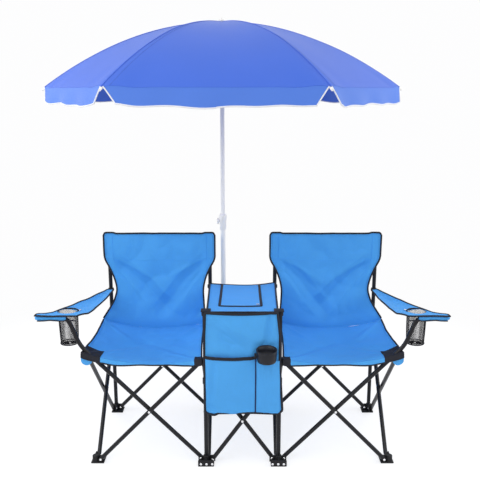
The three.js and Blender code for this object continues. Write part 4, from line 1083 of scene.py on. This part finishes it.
def softShell(name, corners, bulge, seed, resolution, waved=False):
    # A six-sided soft box through eight corners: its sides swell, and its top may wave.
    sides = ((0, 1, 3, 2), (4, 5, 7, 6), (0, 1, 5, 4), (2, 3, 7, 6), (0, 2, 6, 4), (1, 3, 7, 5))
    centre = sum((Vector(c) for c in corners), Vector((0, 0, 0))) / 8
    points, faces = [], []
    for side, swell in zip(sides, bulge):
        p0, p1, p2, p3 = (Vector(corners[k]) for k in side)
        normal = (p1 - p0).cross(p3 - p0).normalized()
        if normal.dot((p0 + p2) / 2 - centre) < 0:
            normal = -normal
        start = len(points)
        faces += [tuple(start + k for k in face) for face in gridFaces(resolution, resolution)]
        for j in range(resolution + 1):
            for i in range(resolution + 1):
                u, v = i / resolution, j / resolution
                p = p0.lerp(p1, u).lerp(p3.lerp(p2, u), v)
                rise, nearTop = dome(u, v), smooth((p.z - 500) / 80)
                wrinkle = bagSizes["wrinkle"] * rise ** 0.5 * rumple(p.x, p.y, p.z, 70, seed)
                p = p + normal * (swell * rise + wrinkle)
                if waved:
                    p.z += nearTop * topWave(*topShare(p.x, p.y))
                points.append(at(*p))
    return mended(meshObject(name, points, faces, "seatCloth"), 0.0002)


def panelPoint(u, v, out=0.0):
    # The bag's front panel, with rounded lower corners. It is drawn in beside the ring.
    g = bagSizes
    z = mix(g["low"] + 2 + 5 * arch(u), g["frontTop"] - 1, v)
    if v < 0.1:
        z -= 6 * (1 - v / 0.1) * math.exp(-((u - 0.06) / 0.06) ** 2)
    x0, x1 = along(g["panelLeft"], z), along(g["panelRight"], z)
    corner = 14
    near = clamp((z - g["low"]) / corner)
    draw = corner * (1 - math.sqrt(max(0.0, 1 - (1 - near) ** 2)))
    x = mix(x0 + draw, x1 - draw, u)
    swell = 9 * arch(u) ** 0.6 * arch(clamp(0.06 + 0.9 * v)) ** 0.7
    y = g["front"] - 2 - swell + 2.2 * rumple(x, 0, z, 62, 5.5)
    y += 5 * math.exp(-(((x + 112) / 22) ** 2 + ((z - 236) / 20) ** 2))
    y += 9 * math.exp(-(((x - 87) / 46) ** 4 + ((z - 458) / 34) ** 4))
    z -= 5 * arch(u) * smooth((v - 0.9) / 0.1)
    for start, end, width, deep in g["creases"]:
        y += foldLine(u, v, start, end, width, deep)
    y -= pullFrom(u, v, (0.0, 0.98), (0.6, 0.6), 0.5, 0.03, 3)
    return at(x, y - out, z)


def pocketPoint(side, u, v, out=0.0):
    g = bagSizes
    left, right, top, deep, seed, fold = pocketSizes[side]
    x = mix(left, right, u)
    z = mix(g["low"] + 5, top, v)
    width = along(g["panelRight"], z) - along(g["panelLeft"], z)
    share = clamp((x - along(g["panelLeft"], z)) / width)
    base = panelPoint(share, clamp((z - g["low"]) / (g["frontTop"] - g["low"])))
    swell = deep * (arch(clamp(u)) ** 0.55) * (0.25 + 0.75 * smooth(v * 1.4))
    y = -swell - fold * math.cos(6 * math.pi * u) * (0.4 + 0.6 * v) + 1.6 * rumple(x, 0, z, 45, seed)
    return Vector((at(x, 0, 0).x, base.y + (y - 1.2 - out) / 1000, z / 1000))


def leftPocket(u, v, out=0.0):
    return pocketPoint("left", u, v, out)


def ringPieces():
    # The bottle ring: a glossy band that stands out before the panel, with a taped edge.
    r = bottleRing

    def ringPoint(turn, z, grow, inset):
        return at(r["x"] + (r["radius"] - inset[0] + grow) * math.cos(turn),
                  r["y"] + (r["radius"] - inset[1] + grow) * math.sin(turn), z + r["tilt"] * math.sin(turn))

    points = [ringPoint(2 * math.pi * i / r["sides"], z, grow, (2.4, 5.5))
              for grow, z in r["rows"] for i in range(r["sides"])]
    band = mended(meshObject("bottleBand", points, ringFaces(r["sides"], len(r["rows"])), "glossBand"), 0.0001)
    edge = [ringPoint(2 * math.pi * k / 48, r["top"], 0, (1, 4)) for k in range(48)]
    return [band, tubePiece("bandTop", edge, 1.9, "blackTape", 8, True)]


def strapPieces(label, s, y, z):
    # A loop of strap round a post, its tail, and a tab on the front corners.
    x = s * rack["inner"]
    profile = [(8.7, z - 7), (11, z - 7), (11.6, z), (11, z + 7), (8.7, z + 7), (8.7, z - 7)]
    pieces = [turnedPiece("strap" + label, profile, (x, y, 0), "blackTape", 24)]
    edge = y if y == 0 else 405
    low, high = sorted((s * 108, s * 129))
    pieces.append(blockPiece("strapTail" + label, (low, edge - 6, z + 3), (high, edge + 6, z + 8), "blackTape", 1.5))
    if y == 0:
        low, high = sorted((s * 114, s * 150))
        pieces.append(blockPiece("strapTab" + label, (low, -20, 605), (high, 12, 610.5), "blackTape", 2.2))
    return pieces


def makeBag():
    g = bagSizes
    edge, w, h, k = g["frontEdge"], g["lowHalf"], g["half"], g["topBackHalf"]
    low, mid, far, back = g["low"], g["middle"], g["topBack"], rack["depth"] - 10
    lower = [(x, y, z) for x in (-w, w) for z in (low, mid + 10) for y in (20, back)]
    upper = [(-h, edge, mid), (-h, far, mid), (-h, edge, bagTop(edge)), (-k, far, bagTop(far)),
             (h, edge, mid), (h, far, mid), (h, edge, bagTop(edge)), (k, far, bagTop(far))]
    bag = joined("coolerBag", [softShell("bagLow", lower, (3, 3, 2, 4, 0, 4), 3.3, 26),
                               softShell("bagHigh", upper, (3, 3, 2, -g["dip"], 0, 3), g["highSeed"], 34, True)])
    panel = clothGrid("bagPanel", 56, 80, panelPoint, "seatCloth", 1.6)
    trims = [tubePiece("panelPiping", rimOf(panelPoint, 1.5, [(0, 0), (1, 0), (1, 1), (0, 1), (0, 0)],
                                            (50, 70, 50, 70), True), g["piping"], "blackTape", 12, True)]
    for label, share in (("", 0.035), ("Right", 0.965)):
        trims.append(stitchRow("panelStitches" + label, [panelPoint(share, k / 60, 1.0) for k in range(61)]))
    sheets = [(panel, (0.29, 0.41)),
              (clothGrid("pocketLeft", 44, 40, leftPocket, "seatCloth", 1.4), (0.20, 0.23)),
              (clothGrid("pocketRight", 28, 40, lambda u, v: pocketPoint("right", u, v), "seatCloth", 1.4),
               (0.10, 0.21))]

    # The left pocket's black hem, the seam between the pockets, and the tab that holds the ring.
    trims.append(clothGrid("pocketHem", 44, 4, lambda u, v: leftPocket(u, mix(0.955, 1.0, v), 1.1), "blackTape", 1.2))
    trims.append(tubePiece("pocketHemEdge", [leftPocket(k / 40, 1.0, 0.6) for k in range(41)], 2.2, "blackTape", 8))
    trims.append(tubePiece("pocketDivider", [leftPocket(1.0, k / 30, 1.2) for k in range(31)], 2.5, "navyTape", 8))
    trims.append(blockPiece("ringTab", (43, -45, 438), (54, -39, 458), "blackTape", 1.2))
    trims.append(stitchRow("pocketStitches", [leftPocket(k / 60, 0.945, 0.9) for k in range(61)]))
    trims += ringPieces()

    # Piping round the top, and strap loops at its corners.
    rail = [bagTopPoint(mix(-h, h, k / 30), edge) for k in range(31)]
    depths = [mix(edge, far, k / 30) for k in range(31)]
    rail += [bagTopPoint(topHalf(y), y) for y in depths[1:]]
    rail += [bagTopPoint(mix(topHalf(far), -topHalf(far), k / 30), far) for k in range(1, 31)]
    rail += [bagTopPoint(-topHalf(y), y) for y in depths[-2:0:-1]]
    trims.append(tubePiece("topPiping", rail, g["topPiping"], "blackTape", 10, True))
    for label, s, y, z in (("FL", -1, 0, 594), ("FR", 1, 0, 594), ("BL", -1, 422, 570), ("BR", 1, 422, 570)):
        trims += strapPieces(label, s, y, z)
    return bag, sheets, joined("coolerTrim", trims)


bag, bagSheets, bagTrim = makeBag()
dress(bag, bodyOf["cooler_body"], "blue_cloth", "cooler_body")
dress(bagTrim, bodyOf["cooler_body"], "blue_cloth")
for one, flat in bagSheets:
    dress(one, bodyOf["cooler_body"], "blue_cloth")

lidSizes = {
    "left": -85, "right": 70, "front": 70, "back": 400, "cloth": 1.6, "tapeLift": 2.8, "tape": 5.6, "flat": 0.45,
}


def makeLid():
    # The lid lies on the bag's top. A flattened zip tape runs round three of its sides.
    q = lidSizes

    def lidPoint(u, v):
        return bagTopPoint(mix(q["left"], q["right"], u), mix(q["front"], q["back"], v), q["cloth"])

    flap = clothGrid("coolerLid", 30, 50, lidPoint, "seatCloth", q["cloth"])
    corners = [(q["left"], q["back"]), (q["left"], q["front"]), (q["right"], q["front"]), (q["right"], q["back"])]
    path = [bagTopPoint(mix(x0, x1, k / 30), mix(y0, y1, k / 30), q["tapeLift"])
            for (x0, y0), (x1, y1) in zip(corners, corners[1:]) for k in range(30)]
    path.append(bagTopPoint(*corners[-1], q["tapeLift"]))
    tape = tubePiece("zipTape", path, q["tape"], "blackTape", 8)
    for vertex in tape.data.vertices:
        place = (vertex.co - at(0, 0, 0)) * 1000
        base = bagTopPoint(place.x, place.y, 0).z
        vertex.co.z = base + (vertex.co.z - base) * q["flat"]
    pull = blockPiece("zipPull", (52, 78, 601), (64, 83, 604), "brightSteel", 0.8)
    return flap, joined("lidTrim", [tape, pull])


lid, lidTrim = makeLid()
dress(lid, bodyOf["cooler_lid"], "blue_cloth", "cooler_lid")
dress(lidTrim, bodyOf["cooler_lid"], "blue_cloth")
for one in [bag, bagTrim, lid, lidTrim] + [one for one, flat in bagSheets]:
    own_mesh(one)
print("cooler bag made")


# The parasol.

poleSizes = {
    "x": -82, "y": 460, "foot": 14.3, "lowTop": 820, "highFoot": 640, "highTop": 1630,
    "collarLow": 808, "collarHigh": 875, "knobZ": 845, "knobDisc": 16.3, "knobWing": (24.6, 18), "knobShank": 8.7,
}
canopySizes = {
    "radius": 717, "drop": 252, "ribZ": 1640, "lift": 4.6, "hole": 9, "pivot": 15, "joint": 365, "apart": 6, "sag": 7,
    "rings": 40, "threads": 26, "pucker": 4.2, "valance": 58, "flare": 6, "topInset": 6, "hemInset": 45,
    "cloth": 0.7, "hem": 2.6, "hemSide": 2.4, "rib": 2.6, "tip": 4.2, "tipLength": 9.5, "rod": 2.3, "rodInner": 13,
}


def out(angle, radius, z):
    return at(poleSizes["x"] + radius * math.cos(angle), poleSizes["y"] + radius * math.sin(angle), z)


def ribAngle(k):
    return 2 * math.pi * k / 6 - math.pi / 2 + math.pi / 6


def ribHeight(radius):
    return canopySizes["ribZ"] - canopySizes["drop"] * (radius / canopySizes["radius"]) ** 2


def goreSpot(k, share, radius, lift=0.0):
    # A point between rib k and the next one: threads run straight, and the cloth sags a little between.
    c = canopySizes
    z = ribHeight(radius) + c["lift"] + 1 + lift
    first, second = out(ribAngle(k), radius, z), out(ribAngle(k + 1), radius, z)
    p = first.lerp(second, share)
    reach = radius / c["radius"]
    p.z -= c["sag"] / 1000 * arch(share) * arch(clamp(reach * 0.92))
    aside = min(share, 1 - share) * radius
    pull = math.exp(-((1 - reach) / 0.13) ** 2) * math.sin(share * math.pi * 9) * math.exp(-(aside / 120) ** 2)
    p.z += c["pucker"] / 1000 * pull
    p.z += 0.0018 * rumple(p.x * 1000, p.y * 1000, 0, 210, k * 1.7) * arch(reach)
    return p


def valanceSpot(k, share, fall, outward=0.0):
    c = canopySizes
    inset = mix(c["topInset"], c["hemInset"], fall) / c["radius"]
    t = mix(inset, 1 - inset, share)
    rim = goreSpot(k, t, c["radius"])
    middle = (ribAngle(k) + ribAngle(k + 1)) / 2
    away = Vector((math.cos(middle), math.sin(middle), 0))
    wave = c["flare"] + 8 * (2 * share - 1) ** 2 + 4.5 * math.cos(6 * math.pi * share + k)
    wave = fall * (wave + 3.0 * rumple(share * 500, k * 100, fall * 40, 90, 2.2))
    drop = c["valance"] + 2.5 * arch(share)
    drop += 2.5 * math.sin(9 * share + 2 * k) + 2 * math.sin(21 * share + k)
    return rim + away * (wave - 1 + outward) / 1000 + Vector((0, 0, -drop * fall / 1000 - 0.0005))


def makeSector(k):
    # The cloth that one rib carries: half of the gore on each side, with its valance and trim.
    c = canopySizes
    half = c["threads"] // 2
    columns = 2 * half
    radii = [c["hole"] + (c["radius"] - c["hole"]) * (n / c["rings"]) for n in range(c["rings"] + 1)]

    def spot(column, radius, lift=0.0):
        if column <= half:
            return goreSpot(k - 1, 0.5 + 0.5 * column / half, radius, lift)
        return goreSpot(k, 0.5 * (column - half) / half, radius, lift)

    points = [spot(column, radius) for radius in radii for column in range(columns + 1)]
    top = meshObject("dome%d" % k, points, gridFaces(columns, c["rings"]), "canopyCloth")
    faceUp(top, (0, 0, 1))
    # The two half flaps of the valance, on both sides of the rib. They take a lighter copy of the canopy cloth:
    # painted light, for the light that shows through them and falls on their front.
    flaps, trims = [], []
    for gore, first, last in ((k - 1, 0.5, 1.0), (k, 0.0, 0.5)):
        def flapPoint(u, v, gore=gore, first=first, last=last):
            return valanceSpot(gore, mix(first, last, u), v)
        flap = clothGrid("flap", 22, 8, flapPoint, "valanceCloth", 0)
        middle = (ribAngle(gore) + ribAngle(gore + 1)) / 2
        faceUp(flap, (math.cos(middle), math.sin(middle), 0))
        flaps.append(flap)
        end = last if last == 1.0 else first
        hem = [valanceSpot(gore, mix(first, last, n / 30), 1.0, 0.3) for n in range(31)]
        side = [valanceSpot(gore, end, n / 10, 0.3) for n in range(11)]
        trims.append(tubePiece("hem", hem, c["hem"], "whiteTape", 8))
        trims.append(tubePiece("hemSide", side, c["hemSide"], "whiteTape", 8))
    trims.append(tubePiece("seam", [spot(half, radius, 0.9) for radius in radii], 1.1, "canopyCloth", 6))
    trims.append(stitchRow("seamStitches", [spot(half + 1, radius, 0.6) for radius in radii], "navyTape", 4.0))
    cloth = mended(joined("canopyCloth%d" % (k + 1), [top] + flaps), 0.00005, False)
    walled(cloth, c["cloth"], -1)
    cloth.data.set_sharp_from_angle(angle=0.9)
    return cloth, joined("canopyTrim%d" % (k + 1), trims)


def ribPieces(k):
    # A rib with its white tip, and the stretcher below it.
    c, angle, number = canopySizes, ribAngle(k), "%d" % (k + 1)
    radii = [12, c["pivot"]] + [c["pivot"] + (c["radius"] - c["pivot"]) * n / 24 for n in range(1, 25)]
    path = [out(angle, r, ribHeight(max(r, c["pivot"]))) for r in radii]
    run = (path[-1] - path[-2]).normalized()
    rib = tubePiece("ribRod" + number, path, c["rib"], "whitePaint", 12)
    tip = tubePiece("ribTip" + number, [path[-1] - run * 0.003, path[-1] + run * c["tipLength"] / 1000],
                    c["tip"], "whiteMoulding", 14)
    dress(joined("ribAndTip" + number, [rib, tip]), "rib_" + number, "white_tube", "umbrella_rib_" + number)
    slope = 2 * c["drop"] * c["joint"] / c["radius"] ** 2
    lean = math.hypot(1, slope)
    jointRadius, jointZ = c["joint"] - c["apart"] * slope / lean, ribHeight(c["joint"]) - c["apart"] / lean
    runnerZ = 2 * jointZ - c["ribZ"]
    rod = [out(angle, c["rodInner"], runnerZ + 0.4), out(angle, jointRadius, jointZ)]
    dress(tubePiece("stretcherRod" + number, rod, c["rod"], "whitePaint", 12), "stretcher_" + number, "white_tube",
          "umbrella_stretcher_" + number)


for k in range(6):
    cloth, trim = makeSector(k)
    body, angle = "rib_%d" % (k + 1), ribAngle(k)
    dress(cloth, body, "canopy_cloth", *(["umbrella_canopy"] if k == 0 else []))
    dress(trim, body, "canopy_cloth")
    for one in (cloth, trim):
        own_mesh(one)
    ribPieces(k)

q = poleSizes
poleBase = (q["x"], q["y"], 0)
collarLow, collarHigh = q["collarLow"], q["collarHigh"]
lower = turnedPiece("lowerPole", [
    (9.2, q["foot"]), (9.7, q["foot"]), (10, q["foot"] + 1), (10, q["lowTop"]), (9.2, q["lowTop"]), (9.2, q["foot"])],
    poleBase, "whitePaint")
dress(lower, "pole_lower", "white_tube", "umbrella_lower_pole")
collar = turnedPiece("collarSleeve", [
    (10.5, collarLow), (12.6, collarLow), (13.4, collarLow + 4), (14.2, 846), (15.2, 852), (16, 862), (15.9, 868),
    (14.6, 872), (12, collarHigh), (8.9, collarHigh), (8.9, 820.5), (10.5, 820.5), (10.5, collarLow)],
    poleBase, "whiteMoulding", 40)
dress(collar, "pole_lower", "white_plastic", "umbrella_collar")
x, y, z = q["x"], q["y"], q["knobZ"]
wingEnd, wingStart = q["knobWing"]
knob = joined("collarKnob", [
    turnedPiece("knobDisc", [(0, 0), (8.2, 0), (9, 1), (9, 6.6), (8, 8), (0, 8.4)], (x - q["knobDisc"], y, z),
                "whiteMoulding", 28, (-1, 0, 0)),
    blockPiece("knobWing", (x - wingEnd, y - 2.6, z - 13), (x - wingStart, y + 2.6, z + 13), "whiteMoulding", 2.2),
    turnedPiece("knobShank", [(0, 0), (2.9, 0), (2.9, 8), (0, 8)], (x - q["knobShank"], y, z), "brightSteel", 16,
                (-1, 0, 0))])
dress(knob, "knob", "white_plastic", "umbrella_knob")
upper = joined("upperPole", [
    turnedPiece("upperTube", [(7.6, q["highFoot"]), (8.5, q["highFoot"]), (8.5, q["highTop"]), (0, q["highTop"])],
                poleBase, "whitePaint"),
    turnedPiece("crown", [(0, 1628), (9.8, 1628), (9.8, 1642.8), (0, 1642.8)], poleBase, "whiteMoulding"),
    turnedPiece("finial", [(0, 1640), (7.6, 1640), (7.6, 1648.2), (15, 1648.2), (15, 1649.6), (11, 1652.5), (6, 1657),
                           (3.4, 1659.4), (0, 1660)], poleBase, "whiteMoulding")])
dress(upper, "pole_upper", "white_tube", "umbrella_upper_pole")
print("parasol made")


# The pole holder on the left inner upright: a cup and a ring, each with a bar and a clamp.

holderSizes = {
    "radius": 14, "bore": 10.6, "cup": (12, 64), "cupBar": (22, 34), "ring": (340, 356), "barHalf": 7,
    "clampBore": 8.1, "clamp": 12, "barStart": 7.4, "barEnd": 11.5,
}


def makeHolder():
    d = holderSizes
    post, pole = Vector((-rack["inner"], rack["depth"], 0)), Vector(poleBase)
    away = (pole - post).normalized()
    side = Vector((-away.y, away.x, 0)) * d["barHalf"]
    bore, radius, (cupLow, cupHigh), (ringLow, ringHigh) = d["bore"], d["radius"], d["cup"], d["ring"]
    parts = [
        turnedPiece("holderCup", [(0, cupLow), (13, cupLow), (radius, cupLow + 2), (radius, cupHigh - 1),
                                  (13.2, cupHigh), (bore, cupHigh), (bore, 13.6), (0, 13.6)],
                    poleBase, "blackMoulding"),
        turnedPiece("holderRing", [(bore, ringLow), (13.4, ringLow), (radius, ringLow + 2), (radius, ringHigh - 2),
                                   (13.4, ringHigh), (bore, ringHigh), (bore, ringLow)], poleBase, "blackMoulding"),
    ]
    for low, high in (d["cupBar"], d["ring"]):
        a, b = post + away * d["barStart"], pole - away * d["barEnd"]
        points = [at(p.x, p.y, z) for z in (low + 1, high - 1) for p in (a + side, b + side, b - side, a - side)]
        faces = [(0, 3, 2, 1), (4, 5, 6, 7), (0, 1, 5, 4), (1, 2, 6, 5), (2, 3, 7, 6), (3, 0, 4, 7)]
        parts.append(bevelled(mended(meshObject("holderBar", points, faces, "blackMoulding")), 1.2))
        hold, grip = d["clampBore"], d["clamp"]
        parts.append(turnedPiece("holderClamp", [(hold, low), (grip - 0.5, low), (grip, low + 1), (grip, high - 1),
                                                 (grip - 0.5, high), (hold, high), (hold, low)],
                                 tuple(post), "blackMoulding"))
    dress(joined("poleHolder", parts), "base", "black_plastic")


makeHolder()
print("pole holder made")


# The studio: a white floor that keeps the object's shadow, a white backdrop, four soft lamps and the camera.

studioLook = {
    "floorTint": (0.86, 0.86, 0.87, 1), "shadowTint": (0.42, 0.42, 0.43, 1), "lift": 0.70,
    "liftTint": (0.995, 0.995, 1.0, 1), "backdrop": (0.985, 0.985, 0.99, 1), "fade": (0.9, 1.9),
    "ambient": 0.56, "ambientTint": (1.0, 0.99, 0.96, 1),
    # Each lamp: its place, what it looks at, its width and its power.
    "lamps": {"keyLight": ((-1.4, -2.6, 2.6), (0, 0, 0.4), 2.2, 36),
              "fillLight": ((2.2, -2.2, 2.2), (0, 0, 0.4), 2.2, 15),
              "leftLight": ((-2.4, -0.2, 2.0), (-0.3, 0, 0.4), 1.8, 30),
              "rightLight": ((2.4, -0.2, 2.0), (0.3, 0, 0.4), 1.8, 26)},
}
cameraSizes = {"pixels": 659, "width": 480, "pitch": 12.82, "height": 1383, "ahead": 2267, "shift": -0.005}


def blended(tree, share, first, second):
    blend = tree.nodes.new("ShaderNodeMixShader")
    wire(tree, (share, blend.inputs["Fac"]), (first.outputs[0], blend.inputs[1]),
         (second.outputs[0], blend.inputs[2]))
    return blend


def seenDirectly(tree):
    # 1 for the camera's rays and for those that reach it by gloss or glass.
    rays = tree.nodes.new("ShaderNodeLightPath")
    seen = maths(tree, "MAXIMUM", rays.outputs["Is Camera Ray"], rays.outputs["Is Glossy Ray"])
    return maths(tree, "MAXIMUM", seen, rays.outputs["Is Transmission Ray"])


def makeFloor():
    # The camera sees a pale floor with the shadow near the object, and the backdrop's white further out.
    look = studioLook
    material = bpy.data.materials.new("paleFloor")
    material.use_nodes = True
    tree = material.node_tree
    principled = tree.nodes["Principled BSDF"]
    principled.inputs["Base Color"].default_value = look["floorTint"]
    principled.inputs["Roughness"].default_value = 0.8
    shaded = node(tree, "ShaderNodeBsdfDiffuse", Color=look["shadowTint"])
    lift = node(tree, "ShaderNodeEmission", Strength=look["lift"], Color=look["liftTint"])
    white = node(tree, "ShaderNodeEmission", Strength=1.0, Color=look["backdrop"])
    near = tree.nodes.new("ShaderNodeAddShader")
    place = node(tree, "ShaderNodeTexCoord")
    distance = node(tree, "ShaderNodeVectorMath", operation="LENGTH")
    fade = node(tree, "ShaderNodeMapRange", interpolation_type="SMOOTHSTEP")
    fade.inputs["From Min"].default_value, fade.inputs["From Max"].default_value = look["fade"]
    wire(tree, (shaded.outputs[0], near.inputs[0]), (lift.outputs[0], near.inputs[1]),
         (place.outputs["Object"], distance.inputs[0]), (distance.outputs["Value"], fade.inputs["Value"]))
    whole = blended(tree, seenDirectly(tree), principled, blended(tree, fade.outputs[0], near, white))
    wire(tree, (whole.outputs[0], tree.nodes["Material Output"].inputs["Surface"]))
    finishes["paleFloor"] = material
    corners = [Vector((-9, -7, 0)), Vector((9, -7, 0)), Vector((9, 9, 0)), Vector((-9, 9, 0))]
    meshObject("floor", corners, [(0, 1, 2, 3)], "paleFloor")


def makeWorld():
    look = studioLook
    world = bpy.data.worlds.new("softRoom")
    bpy.context.scene.world = world
    world.use_nodes = True
    tree = world.node_tree
    tree.nodes.clear()
    ambient = node(tree, "ShaderNodeBackground", Strength=look["ambient"], Color=look["ambientTint"])
    backdrop = node(tree, "ShaderNodeBackground", Strength=1.0, Color=look["backdrop"])
    final = tree.nodes.new("ShaderNodeOutputWorld")
    wire(tree, (blended(tree, seenDirectly(tree), ambient, backdrop).outputs[0], final.inputs["Surface"]))


def makeLamps():
    for name, (place, aim, size, power) in studioLook["lamps"].items():
        data = bpy.data.lights.new(name, "AREA")
        data.energy, data.size = power, size
        lamp = linked(name, data)
        lamp.location = place
        lamp.rotation_euler = (Vector(aim) - Vector(place)).to_track_quat("-Z", "Y").to_euler()


def makeCamera():
    v = cameraSizes
    data = bpy.data.cameras.new("photoCamera")
    data.sensor_width = 36
    data.sensor_fit = "HORIZONTAL"
    data.lens = v["pixels"] / v["width"] * 36
    data.shift_x = v["shift"]
    data.dof.use_dof = False
    camera = linked("photoCamera", data)
    camera.location = at(0, -v["ahead"], v["height"])
    camera.rotation_euler = (math.radians(90 - v["pitch"]), 0, 0)
    bpy.context.scene.camera = camera


makeFloor()
makeWorld()
makeLamps()
makeCamera()
bpy.context.scene.view_settings.view_transform = "Standard"
for shape in (rivetShape, grommetShape, stitchShape):
    bpy.data.objects.remove(shape)

print("scene ready")
